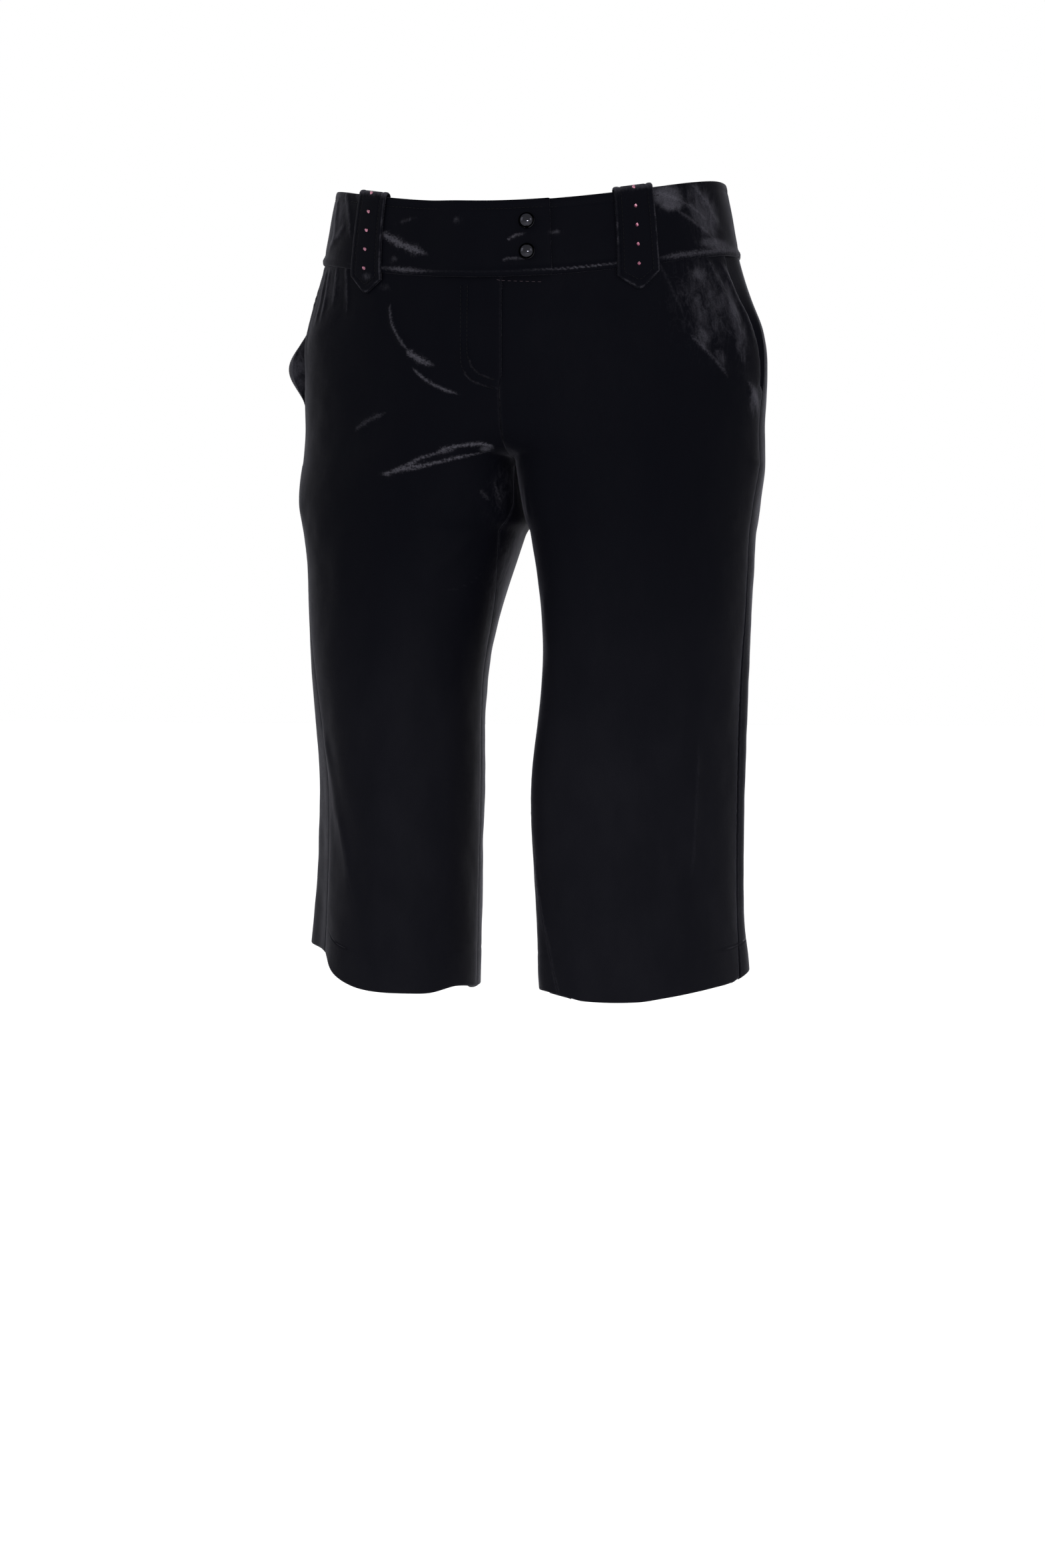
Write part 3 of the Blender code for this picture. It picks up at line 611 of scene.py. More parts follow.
class Finish:
    """A material in the making: its nodes, and the sums that join them."""

    def __init__(self, name):
        self.material = bpy.data.materials.new(name)
        self.material.use_nodes = True
        self.tree = self.material.node_tree
        self.shader = self.tree.nodes["Principled BSDF"]
        self.place = self.node("ShaderNodeTexCoord").outputs["Object"]

    def node(self, kind, values=None, **settings):
        """A node with its settings; values sets or links its inputs."""
        made = self.tree.nodes.new(kind)
        for key, value in settings.items():
            setattr(made, key, value)
        for key, value in (values or {}).items():
            if isinstance(value, bpy.types.NodeSocket):
                self.tree.links.new(value, made.inputs[key])
            else:
                made.inputs[key].default_value = value
        return made

    def reckon(self, operation, first, second=0.0, clamp=False):
        values = {0: first, 1: second}
        return self.node("ShaderNodeMath", values, operation=operation, use_clamp=clamp).outputs[0]

    def add(self, first, second, clamp=False):
        return self.reckon("ADD", first, second, clamp)

    def times(self, first, *others):
        for other in others:
            first = self.reckon("MULTIPLY", first, other)
        return first

    def mottle(self, scale, detail=2.0, roughness=0.5, distortion=0.0, place=None):
        values = {"Vector": self.place if place is None else place, "Scale": scale, "Detail": detail}
        values.update({"Roughness": roughness, "Distortion": distortion})
        return self.node("ShaderNodeTexNoise", values).outputs["Fac"]

    def fade(self, value, start, end):
        values = {"Value": value, "From Min": start, "From Max": end}
        return self.node("ShaderNodeMapRange", values, interpolation_type="SMOOTHSTEP").outputs["Result"]

    def colour(self, share, first, second):
        values = {0: share, 6: (*first, 1.0), 7: (*second, 1.0)}
        mixed = self.node("ShaderNodeMix", values, data_type="RGBA").outputs[2]
        self.tree.links.new(mixed, self.shader.inputs["Base Color"])

    def rough(self, value, more, least):
        self.tree.links.new(self.add(self.times(value, more), least), self.shader.inputs["Roughness"])

    def bump(self, height, strength, distance, under=None):
        values = {"Height": height, "Strength": strength, "Distance": distance}
        if under is not None:
            values["Normal"] = under
        made = self.node("ShaderNodeBump", values).outputs[0]
        self.tree.links.new(made, self.shader.inputs["Normal"])
        return made


# the pile's own near-black colour, and the lighter colour into which its painted highlights, painted sheen
# and painted light are mixed
PILE_DARK, PILE_LIT_AND_CRUSHED = (0.0010, 0.0011, 0.0021), (0.037, 0.036, 0.044)


def velvet_material():
    """Short silky pile: near black where it is looked into, light at the edges, with painted highlights and
    sheen.
    """
    velvet = Finish("black_velvet_pile")
    add, times, fade, mottle = velvet.add, velvet.times, velvet.fade, velvet.mottle
    upright = velvet.node("ShaderNodeMapping", {"Vector": velvet.place, "Scale": (1, 1, 0.5)}).outputs[0]
    clouds = mottle(34, 3, place=upright)
    crush = mottle(150, 6, 0.72, 0.5, upright)
    veins = mottle(120, 3, 0.5, 1.4, upright)
    fray, grain, pile = mottle(640, 4, 0.65), mottle(1500, 3, 0.7), mottle(3200, 2, 0.6)
    line, shine, crush_and_painted_light = (
        velvet.node("ShaderNodeAttribute", attribute_name=word).outputs["Fac"]
        for word in ("line", "shine", "crush_and_painted_light")
    )
    # the highlight lines painted along creases, seams and edges, frayed at their edges
    line = velvet.reckon("MAXIMUM", add(line, times(add(fray, -0.5), 4.6)), 0.0)
    near = velvet.reckon("EXPONENT", times(line, line, -1.0))
    fleck = add(times(fade(grain, 0.36, 0.6), 0.5), 0.5)
    painted_highlights = times(near, shine, fleck)
    # the crushed places: grey blotches and a net of fine bright veins, painted sheen on the crushed pile and
    # painted light in shaded recesses
    blot = add(times(add(crush, -0.5), 2.4), times(add(crush_and_painted_light, -0.38), 1.4))
    vein = velvet.reckon("ABSOLUTE", add(veins, -0.5))
    crushed = add(times(fade(blot, -0.15, 0.9), 0.75), times(fade(vein, 0.05, 0.0), 0.14))
    patch = times(crushed, crush_and_painted_light, fleck)
    # painted light: the pile is painted lighter down the legs, unevenly, for the light thrown up from the
    # floor
    height = velvet.node("ShaderNodeSeparateXYZ", {"Vector": velvet.place}).outputs["Z"]
    lower = add(times(fade(height, -0.22, -0.48), 0.055), 0.010)
    painted_floor_light = times(add(times(fade(clouds, 0.2, 0.8), 0.5), 0.75), lower)
    velvet.colour(add(add(painted_highlights, patch), painted_floor_light, clamp=True), PILE_DARK, PILE_LIT_AND_CRUSHED)
    velvet.rough(crush, 0.25, 0.42)
    shader = velvet.shader
    shader.inputs["Specular IOR Level"].default_value = 0.010
    shader.inputs["Sheen Weight"].default_value = 0.088
    shader.inputs["Sheen Roughness"].default_value = 0.26
    shader.inputs["Sheen Tint"].default_value = (0.83, 0.82, 0.98, 1.0)
    soft = velvet.bump(times(crush, add(times(crush_and_painted_light, 0.9), 0.12)), 0.6, 0.0016)
    velvet.bump(pile, 0.5, 0.00022, soft)
    return velvet.material


velvet = velvet_material()
for side, word in ((LEFT, "left"), (RIGHT, "right")):
    front = lay_panel(f"front_{word}_cloth", side, behind=False)
    front.data.materials.append(velvet)
    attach(front, "root")
    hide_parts(f"front_{word}")

# ---- The backs -----------------------------------------------------------------------------------------
# Two panels of the same velvet, wider than the fronts and sewn to each other at the centre back. They are
# laid in the same way, with the seat's creases and those behind the knees.

for side, word in ((LEFT, "left"), (RIGHT, "right")):
    back = lay_panel(f"back_{word}_cloth", side, behind=True)
    back.data.materials.append(velvet)
    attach(back, "root")
    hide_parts(f"back_{word}")

# ---- The pocket facings --------------------------------------------------------------------------------
# Strips of velvet behind the slanted pocket edges, sewn to the backs at the side seams. Each lies under
# its front and rises to meet the back.

FACING_TUCK = 0.022
FACING_BOTTOM = -0.158
FACING_UNDER = 0.0022  # how far inside the front's face it lies
EDGE_COVER = 2.0


def lay_facing(name, side):
    height = np.concatenate(([-0.051, -0.053], np.arange(-BAND_HEIGHT, FACING_BOTTOM, -0.0016)))[:, None]
    seam = 180 - ring_value(side, "side_seam", height) - gap_angle(side, height)
    edge = seam - pocket_cut(side, height)
    tuck = np.degrees(FACING_TUCK / ring_value(side, "front", height))
    u = np.linspace(0, 1, 42)[None, :]
    angle = edge - tuck + (seam - edge + tuck) * u
    fade = smooth(1 - (-BAND_HEIGHT - height) / 0.06)
    height = height + fade * band_top(angle - 90)
    under = 1 - smooth((angle - edge - EDGE_COVER) / np.maximum(seam - edge - EDGE_COVER, 1.0))
    points, facing = bare(side, height, angle), outward(side, height, angle)
    rise, line, shine, crush_and_painted_light = worn(points, side, PANEL_CREASES, PANEL_PATCHES)
    lift = relief(side, height, angle, "facing") * (1 - under) + rise - under * FACING_UNDER
    marks = {"line": line, "shine": shine, "crush_and_painted_light": crush_and_painted_light}
    return sheet_mesh(name, points + facing * lift[..., None], side == RIGHT, CLOTH, marks)


for side, word in ((LEFT, "left"), (RIGHT, "right")):
    facing_piece = lay_facing(f"pocket_facing_{word}_cloth", side)
    facing_piece.data.materials.append(velvet)
    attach(facing_piece, "root")
    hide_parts(f"pocket_facing_{word}")

# ---- The waistband -------------------------------------------------------------------------------------
# Three shaped lengths of doubled velvet, 55 mm high and lightly stiffened, joined at the sides. The
# wearer's right end laps over the left one. It is topstitched below its upper edge, and its lower edge
# swells where the seam is pressed into it.

BAND_PROUD, BAND_THICK = 0.0012, 0.0026
LAP, UNDERLAP, LAP_RAMP = 0.035, 0.026, 0.026
BAND_STEP, BAND_RADIUS = 0.0014, 0.13  # its radius is only for the spacing of points
TOPSTITCH_DOWN = 0.0065
RIDGE_DOWN = 0.0515
BUTTON_ACROSS = 0.020
BUTTON_DROPS = (0.016, 0.038)

# The band's creases and crushed places, in the same columns as the panels', with their painted highlights and
# painted sheen
BAND_CREASES = {
    RIGHT: (
        (127, -40, 118.5, -50.5, 109.5, -59.5, 3.4, 1.3, 1.8, 0.85),
        (150, -6, 145, -22, 141, -44, 3.2, 1.0, 1.0, 0.3),
        (143, -6, 137, -20, 133, -36, 3.0, 0.9, 0.9, 0.25),
        (158, -8, 155, -26, 152, -50, 3.6, 1.0, 1.0, 0.3),
        (146, -30, 152, -40, 160, -46, 3.6, 0.9, 1.0, 0.3),
        (198, -6, 206, -22, 220, -34, 4.0, 0.8, 0, 0),
        (242, 2, 246, -24, 240, -46, 4.0, 0.7, 0.9, 0.15),
    ),
    LEFT: (
        (92.5, -52, 94, -49, 97.5, -46.5, 2.0, 0.9, 0.8, 0.7),
        (91, -66.5, 93.5, -64.5, 97.5, -65.5, 1.8, 0.7, 0.7, 0.5),
        (136, -15, 146, -21, 158, -34, 3.2, 0.9, 1.0, 0.3),
        (142, -26, 152, -38, 162, -50, 4.0, 1.1, 1.0, 0.3),
        (150, -6, 158, -20, 163, -40, 3.4, 1.0, 1.0, 0.3),
        (192, -4, 196, -22, 203, -38, 4.0, 0.8, 1.0, 0.14),
        (236, 2, 240, -20, 236, -44, 4.0, 0.7, 0.9, 0.15),
    ),
}
BAND_PATCHES = {
    RIGHT: (
        (151, -26, 13, 26, 0, 0.55),
        (121, -61, 4, 3.5, 0, 0.7),
        (101.5, -35.7, 3.5, 3, -30, 0.7),
        (118, -33, 9, 2, -12, 0.5),
        (226, -20, 30, 20, 0, 0.3),
    ),
    LEFT: (
        (140, -17, 17, 11, 0, 1.0),
        (141, -23, 13, 6, 0, 1.0),
        (156, -26, 19, 26, 25, 0.80),
        (159, -49, 22, 6, 0, 0.90),
        (105, -45.6, 5.5, 2, 10, 0.7),
        (222, -20, 30, 20, 0, 0.3),
    ),
}


def round_trunk(turn, height):
    """Points and outward directions of the trunk by their turn from the centre front, by way of the left."""
    turn, height = np.broadcast_arrays(turn, height)
    on_left = (turn >= 0) & (turn <= 180)
    angle = 90 + np.where(turn > 180, 360 - turn, np.abs(turn))
    points = np.where(on_left[..., None], bare(LEFT, height, angle), bare(RIGHT, height, angle))
    facing = np.where(on_left[..., None], outward(LEFT, height, angle), outward(RIGHT, height, angle))
    return points, facing, on_left


def turn_at(across, height):
    """The turn at which the trunk's front has this X."""
    return math.degrees(math.asin(across / ring_value(LEFT, "half_width", height)))


def round_section(half, tall, outer_step):
    """A loop round a flat strip's section: distances down from its top and outwards from its middle."""
    bend = np.linspace(0, math.pi, 9)
    face = np.arange(half + outer_step, tall - half, outer_step)
    inner = np.linspace(tall - half, half, 12)[1:-1]
    down = np.concatenate((half - half * np.sin(bend)[::-1], face, tall - half + half * np.sin(bend), inner))
    rounded, flat_in = half * np.cos(bend), np.full(len(inner), -half)
    return down, np.concatenate((rounded[::-1], np.full(len(face), half), rounded, flat_in))


def tube_mesh(name, loops, marks):
    """A closed piece through a list of loops of points, with its two ends filled."""
    count, size = loops.shape[:2]
    index = np.arange(count * size).reshape(count, size)
    after = np.roll(index, -1, axis=1)
    faces = np.stack([c.ravel() for c in (index[:-1], index[1:], after[1:], after[:-1])], axis=1).tolist()
    faces += [index[0].tolist(), index[-1][::-1].tolist()]
    mesh = mesh_of(name, loops.reshape(-1, 3).tolist(), faces, marks)
    form = bmesh.new()
    form.from_mesh(mesh)
    bmesh.ops.recalc_face_normals(form, faces=form.faces)
    form.to_mesh(mesh)
    form.free()
    mesh.shade_smooth()
    return put(name, mesh)


def over_lap(turn):
    """How far the band's upper end lies over the lower one."""
    ramp_end = -turn_at(UNDERLAP, 0) - 1
    ramp = math.degrees(LAP_RAMP / ring_value(LEFT, "half_width", 0.0))
    return (BAND_THICK + 0.0003) * smooth((turn - ramp_end + ramp) / ramp)


def lay_band(name, first, last, over=False):
    """A length of the waistband between two turns."""
    length = math.radians(last - first) * BAND_RADIUS
    along = np.linspace(0, length, round(length / BAND_STEP))
    round_off = BAND_THICK / 2
    ease = round_off * (1 - np.cos(np.linspace(0, math.pi / 2, 6)))
    along = np.unique(np.concatenate((ease, along[along > round_off + 0.0006], length - ease)))
    along = along[along <= length]
    turn = (first + (last - first) * along / length)[:, None]
    down, out = round_section(BAND_THICK / 2, BAND_HEIGHT, 0.0011)
    edge = np.minimum(along, length - along)[:, None]
    swell = np.sqrt(np.clip(1 - (1 - np.minimum(edge / round_off, 1)) ** 2, 0.02, 1))
    height = band_top(turn) - (BAND_HEIGHT / 2 + (down - BAND_HEIGHT / 2) * (1 - 0.02 * (1 - swell)))
    points, facing, on_left = round_trunk(turn, height)
    both = (worn(points, side, BAND_CREASES, BAND_PATCHES) for side in (LEFT, RIGHT))
    rise, line, shine, crush_and_painted_light = (np.where(on_left, *pair) for pair in zip(*both))
    stitch = -0.0003 * np.exp(-(((down - TOPSTITCH_DOWN) / 0.0009) ** 2))
    stitch = stitch + 0.0002 * np.exp(-(((down - 0.0035) / 0.0018) ** 2))
    ridge = 0.0008 * np.exp(-(((down - RIDGE_DOWN) / 0.0019) ** 2))
    ridge = ridge - 0.0003 * np.exp(-(((down - RIDGE_DOWN + 0.0045) / 0.0018) ** 2))
    dimple = np.zeros(points.shape[:-1])
    for drop in BUTTON_DROPS:
        at = turn_at(BUTTON_ACROSS, -BAND_HEIGHT / 2)
        middle, _, _ = round_trunk(np.array(at), band_top(at) - drop)
        dimple -= 0.0008 * np.exp(-((np.linalg.norm(points - middle, axis=-1) / 0.0085) ** 2))
    # a painted highlight along the ridge above the band's lower seam, zigzagging, strongest either side of
    # the front and round the wearer's left hip
    bright = np.exp(-(((turn + 27) / 7) ** 2)) + np.exp(-(((turn - 22) / 10) ** 2))
    zigzag = 0.0006 * np.sin(along[:, None] * math.tau / 0.0036) * bright
    outer = smooth((turn - 42) / 8) * smooth((108 - turn) / 34)
    near_ridge = np.abs(down - RIDGE_DOWN - zigzag) / (0.0006 + 0.0008 * bright * (turn < 0) + 0.0010 * outer)
    lit = 0.05 + 0.70 * bright + 0.45 * outer
    nearer = near_ridge < line
    line, shine = np.where(nearer, near_ridge, line), np.where(nearer, lit, shine)
    face = (out > 0) * swell
    detail = (stitch + ridge) * face + (rise + unrest(points) * 0.7 + dimple * over)
    lift = BAND_PROUD - BAND_THICK / 2 + out * swell + detail + (over_lap(turn) if over else 0)
    return tube_mesh(name, points + facing * lift[..., None], {"line": line, "shine": shine, "crush_and_painted_light": crush_and_painted_light})


under_end, over_end = -turn_at(UNDERLAP, 0), turn_at(LAP, 0)
BAND_LENGTHS = (  # name, first and last turn, laps over, flat length
    ("waistband_front_left", under_end, 90, False, 0.245),
    ("waistband_front_right", -90, over_end, True, 0.255),
    ("waistband_back", 90, 270, False, 0.410),
)
for name, first, last, over, flat_length in BAND_LENGTHS:
    band = lay_band(f"{name}_cloth", first, last, over)
    band.data.materials.append(velvet)
    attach(band, "root")
    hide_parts(name)

# ---- The fly -------------------------------------------------------------------------------------------
# A zip tape behind the centre front with its closed row of teeth and its slider, and a doubled strip of
# velvet behind it that keeps it off the wearer.

FLY_TOP, FLY_BOTTOM, TAPE_BOTTOM = -0.083, -0.172, -0.166
TAPE_WIDE, GUARD_WIDE = 0.026, 0.040
TAPE_UNDER, GUARD_UNDER = 0.0022, 0.0035
TAPE_THICK, GUARD_THICK = 0.0010, 0.0014
TOOTH_PITCH, TOOTH_STAGGER = 0.0017, 0.0007
TOOTH_WIDE, TOOTH_DEEP, TOOTH_TALL = 0.0036, 0.0008, 0.0009


def lay_strip(name, wide, bottom, under, thick):
    """A flat strip behind the centre front."""
    height = np.arange(FLY_TOP, bottom, -0.002)[:, None]
    across = np.linspace(-wide / 2, wide / 2, 25)[None, :]
    points = []
    for side in (RIGHT, LEFT):
        chosen = across[:, (across[0] * side) > (0 if side == RIGHT else -1e-9)]
        out, half_width = ring_value(side, "out", height), ring_value(side, "half_width", height)
        angle = np.degrees(np.arccos((out - np.abs(chosen)) / half_width))
        points.append(bare(side, height, angle) - outward(side, height, angle) * under)
    points = np.concatenate(points, axis=1)
    plain = {"line": FAR_OFF, "shine": 0.0, "crush_and_painted_light": 0.0}
    marks = {word: np.full(points.shape[:-1], value) for word, value in plain.items()}
    return sheet_mesh(name, points, False, thick, marks)


def blackened_material(name, darker, lighter):
    metal = Finish(name)
    tarnish = metal.mottle(900, 3, 0.6)
    metal.colour(tarnish, darker, lighter)
    metal.rough(tarnish, 0.3, 0.2)
    metal.shader.inputs["Metallic"].default_value = 1.0
    return metal.material


def tape_material():
    """Matt woven tape with a fine herringbone."""
    woven = Finish("woven_tape")
    values = {"Vector": woven.place, "Scale": 300.0, "Distortion": 1.5}
    weave = woven.node("ShaderNodeTexWave", values, bands_direction="DIAGONAL").outputs["Fac"]
    woven.colour(weave, (0.008, 0.008, 0.010), (0.022, 0.022, 0.026))
    woven.rough(woven.mottle(700), 0.2, 0.6)
    woven.bump(weave, 0.5, 0.0002)
    return woven.material


tape = lay_strip("zip_tape_cloth", TAPE_WIDE, TAPE_BOTTOM, TAPE_UNDER, TAPE_THICK)
tape.data.materials.append(tape_material())
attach(tape, "root")
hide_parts("zip")

# one tooth, chamfered at its ends, and the row of its copies down the tape's outer face
bpy.ops.mesh.primitive_cube_add(size=1, location=(0, 0, 0), scale=(TOOTH_WIDE, TOOTH_DEEP, TOOTH_TALL))
tooth_model = bpy.context.active_object
bpy.ops.object.mode_set(mode="EDIT")
bpy.ops.mesh.bevel(offset=0.00015, segments=1, affect="EDGES")
bpy.ops.object.mode_set(mode="OBJECT")


def on_tape(height, out):
    """A point in the middle of the tape and its outward direction."""
    angle = np.degrees(np.arccos(ring_value(LEFT, "out", height) / ring_value(LEFT, "half_width", height)))
    facing = outward(LEFT, height, angle) * (0, 1, 1)
    facing /= np.linalg.norm(facing)
    return bare(LEFT, height, angle) + facing * out, facing


def copied(model, places):
    """Points and faces of a model's copies, each of them at its own axes and centre."""
    corners = np.array([model.matrix_world @ vertex.co for vertex in model.data.vertices])
    points, faces = [], []
    for axes, centre in places:
        faces += [[vertex + len(points) for vertex in face.vertices] for face in model.data.polygons]
        points += (corners @ np.array(axes) + centre).tolist()
    return points, faces


places = []
for k, height in enumerate(np.arange(FLY_TOP - 0.004, FLY_BOTTOM + 0.010, -TOOTH_PITCH)):
    centre, facing = on_tape(height, -TAPE_UNDER + TOOTH_DEEP * 0.35)
    centre[0] += TOOTH_STAGGER if k % 2 else -TOOTH_STAGGER
    places.append((((1, 0, 0), facing, np.cross((1, 0, 0), facing)), centre))
teeth = put("zip_teeth", mesh_of("zip_teeth", *copied(tooth_model, places)))
bpy.data.objects.remove(tooth_model)
teeth.data.materials.append(blackened_material("blackened_teeth", (0.05, 0.05, 0.055), (0.14, 0.14, 0.15)))
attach(teeth, "root")


def extrude_up(rise, wider, deeper):
    """In edit mode, extrude what is selected along Z and scale its outline."""
    bpy.ops.mesh.extrude_region_move(TRANSFORM_OT_translate={"value": (0, 0, rise)})
    bpy.ops.transform.resize(value=(wider, deeper, 1))


def select_faces(piece, way):
    """In edit mode, select the faces that look up or down."""
    form = bmesh.from_edit_mesh(piece.data)
    for face in form.faces:
        face.select_set(face.normal.z * way > 0.5)
    bmesh.update_edit_mesh(piece.data)


# the slider lies at the top of the row with its flat pull turned down
bpy.ops.mesh.primitive_cube_add(size=1, location=(0, 0, 0), scale=(0.0062, 0.0009, 0.0085))
slider = bpy.context.active_object
slider.name = "zip_slider"
bpy.ops.object.mode_set(mode="EDIT")
select_faces(slider, -1)
bpy.ops.transform.resize(value=(0.62, 1, 1))
for longer, wider in ((0.002, 0.62), (0.012, 1.15), (0.004, 1.35)):
    extrude_up(-longer, wider, 1)
bpy.ops.mesh.select_all(action="SELECT")
bpy.ops.mesh.bevel(offset=0.0002, segments=2, affect="EDGES")
bpy.ops.object.mode_set(mode="OBJECT")
bpy.ops.object.transform_apply(location=True, rotation=True, scale=True)
centre, facing = on_tape(FLY_TOP - 0.006, -TAPE_UNDER + 0.0006)
up = np.cross((1, 0, 0), facing)
turned = Matrix(((1, facing[0], up[0]), (0, facing[1], up[1]), (0, facing[2], up[2])))
slider.data.transform(Matrix.Translation(centre) @ turned.to_4x4())
slider.data.materials.append(blackened_material("blackened_slider", (0.04, 0.04, 0.045), (0.10, 0.10, 0.11)))
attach(slider, "root")

guard = lay_strip("fly_guard_cloth", GUARD_WIDE, FLY_BOTTOM, GUARD_UNDER, GUARD_THICK)
guard.data.materials.append(velvet)
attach(guard, "root")
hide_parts("fly_guard")

# ---- The belt tabs -------------------------------------------------------------------------------------
# Two pointed tabs of doubled velvet, 30 by 75 mm, folded over the band's upper edge and lying on its
# front. Each is stitched 5 mm inside its outline.

TAB_ACROSS = {"left": 0.0949, "right": -0.1035}
TAB_SWING = {"left": 2.3, "right": 3.6}  # degrees by which the tip hangs in towards the centre
TAB_WIDE, TAB_LENGTH, TAB_POINT, TAB_SEATED, TAB_INSIDE = 0.030, 0.0755, 0.011, 0.017, 0.018
TAB_THICK, TAB_RADIUS = 0.0018, 0.135
TAB_REACH = BAND_THICK / 2 + 0.0003 + TAB_THICK
TAB_STRAIGHT = TAB_LENGTH - TAB_REACH  # the rest goes over the band
TAB_MIDDLE = BAND_PROUD - BAND_THICK / 2
TAB_STITCH = 0.0048  # inside the outline
TAB_TIP = 0.10  # the tip's share of the width
TAB_SLOPE = math.atan2(TAB_WIDE / 2 * (1 - TAB_TIP), TAB_POINT)


def tab_turn(word):
    return math.copysign(turn_at(abs(TAB_ACROSS[word]), -BAND_HEIGHT / 2), TAB_ACROSS[word])


def tab_middle(word, down):
    """The turn of a tab's middle, that far below the band's upper edge."""
    turn = tab_turn(word)
    return turn - math.copysign(TAB_SWING[word], turn) * np.clip(down / TAB_LENGTH, 0, 1) ** 2


def on_tab(word, along, across, depth):
    """Points of a tab: along runs from its tip over the band to the inside, depth goes in from its face."""
    along, across, depth = np.broadcast_arrays(along, across, depth)
    top = band_top(tab_turn(word))
    bend = np.clip((along - TAB_STRAIGHT) / TAB_REACH, 0, math.pi)
    inside = np.maximum(along - TAB_STRAIGHT - math.pi * TAB_REACH, 0)
    sunk = np.interp(along, (0, TAB_POINT, TAB_SEATED), (-BAND_PROUD, -BAND_PROUD / 2, 0))
    drop = np.minimum(along - TAB_STRAIGHT, 0)
    high = drop + (TAB_REACH - depth) * np.sin(bend) - inside
    out = TAB_MIDDLE + (TAB_REACH - depth) * np.cos(bend) + sunk
    middle = tab_middle(word, -drop)
    at = middle + np.degrees(across / TAB_RADIUS)
    points, facing, _ = round_trunk(at, top + high + band_top(at) - band_top(middle))
    return points + facing * out[..., None]


def tab_half(along):
    """Half the tab's width, that far from its tip."""
    return TAB_WIDE / 2 * np.minimum(TAB_TIP + (1 - TAB_TIP) * along / TAB_POINT, 1)


def lay_tab(name, word):
    total = TAB_STRAIGHT + math.pi * TAB_REACH + TAB_INSIDE
    along = np.concatenate((np.array([0, 0.0003, 0.0007]), np.arange(0.0013, total, 0.0009)))[:, None]
    half = tab_half(along)
    ease = (1 - np.cos(np.linspace(0, math.pi / 2, 5))) * 0.09
    shares = np.unique(np.concatenate((ease, np.linspace(0.09, 0.91, 32), 1 - ease))) * 2 - 1
    across = np.concatenate((shares, shares[::-1][1:-1]))[None, :]
    outer = np.concatenate((np.ones(len(shares)), -np.ones(len(shares) - 2)))[None, :]
    edge = np.minimum(half - half * np.abs(across), along)
    edge = np.where(along < TAB_POINT, np.minimum(edge * math.cos(TAB_SLOPE), along), edge)
    swell = np.sqrt(np.clip(1 - (1 - np.minimum(edge / 0.0009, 1)) ** 2, 0, 1))
    groove = 0.00045 * np.exp(-(((edge - TAB_STITCH) / 0.0008) ** 2))
    groove = groove - 0.00022 * np.exp(-(((edge - 0.0022) / 0.0016) ** 2))
    depth = np.where(outer > 0, TAB_THICK / 2 * (1 - swell) + groove * swell, TAB_THICK / 2 * (1 + swell))
    points = on_tab(word, along, half * across, depth)
    # painted highlights along the tab's folded edges, patchy along its length, and painted sheen on the
    # crushed pile at its fold over the band, low on the right tab and along its edges
    line = np.abs(edge - 0.0008) / 0.0005
    near_top = np.exp(-(((along - TAB_LENGTH) / 0.005) ** 2))
    patchy = smooth(0.35 + 0.8 * np.sin(along * 310 + 2.4 * np.sin(along * 145) + 1.7 * np.sign(across)))
    shine = np.where(outer > 0, 0.07 + 0.30 * patchy, 0.0)
    folded = np.exp(-(((along - 0.012) / 0.004) ** 2)) * np.exp(-(((half * across - 0.002) / 0.005) ** 2))
    crush_and_painted_light = (0.9 * near_top + 0.75 * folded * (word == "right")) * (outer > 0)
    crush_and_painted_light = crush_and_painted_light + 0.10 * np.exp(-(((edge - 0.0024) / 0.0018) ** 2))
    return tube_mesh(name, points, {"line": line + 0 * half, "shine": shine, "crush_and_painted_light": crush_and_painted_light})


for word in TAB_ACROSS:
    tab = lay_tab(f"belt_tab_{word}_cloth", word)
    tab.data.materials.append(velvet)
    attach(tab, "root")
    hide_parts(f"belt_tab_{word}")

# ---- The stones ----------------------------------------------------------------------------------------
# Five small cut stones down each tab, rose-coloured glass backed with foil, glued on. One is modelled and
# the others are copies of it.

STONES, STONE_PITCH, STONE_FIRST = 5, 0.0139, 0.002
STONE_WIDE, STONE_TALL = 0.0025, 0.0010


def stone_material():
    """Rose glass over foil, with each facet's own tone."""
    glass = Finish("rose_glass")
    cells = glass.node("ShaderNodeTexVoronoi", {"Vector": glass.place, "Scale": 1500.0})
    tone = glass.node("ShaderNodeSeparateColor", {"Color": cells.outputs["Color"]}).outputs[0]
    glass.colour(tone, (0.07, 0.010, 0.026), (0.42, 0.14, 0.22))
    glass.rough(tone, 0.06, 0.04)
    glass.shader.inputs["Metallic"].default_value = 0.5
    glass.shader.inputs["Coat Weight"].default_value = 1.0
    glass.shader.inputs["Coat Roughness"].default_value = 0.03
    return glass.material


def turn_out(mesh, centre, facing):
    """Move a mesh from the origin to its place, with its top facing outwards."""
    mesh.transform(Matrix.Translation(centre) @ facing.to_track_quat("Z", "Y").to_matrix().to_4x4())


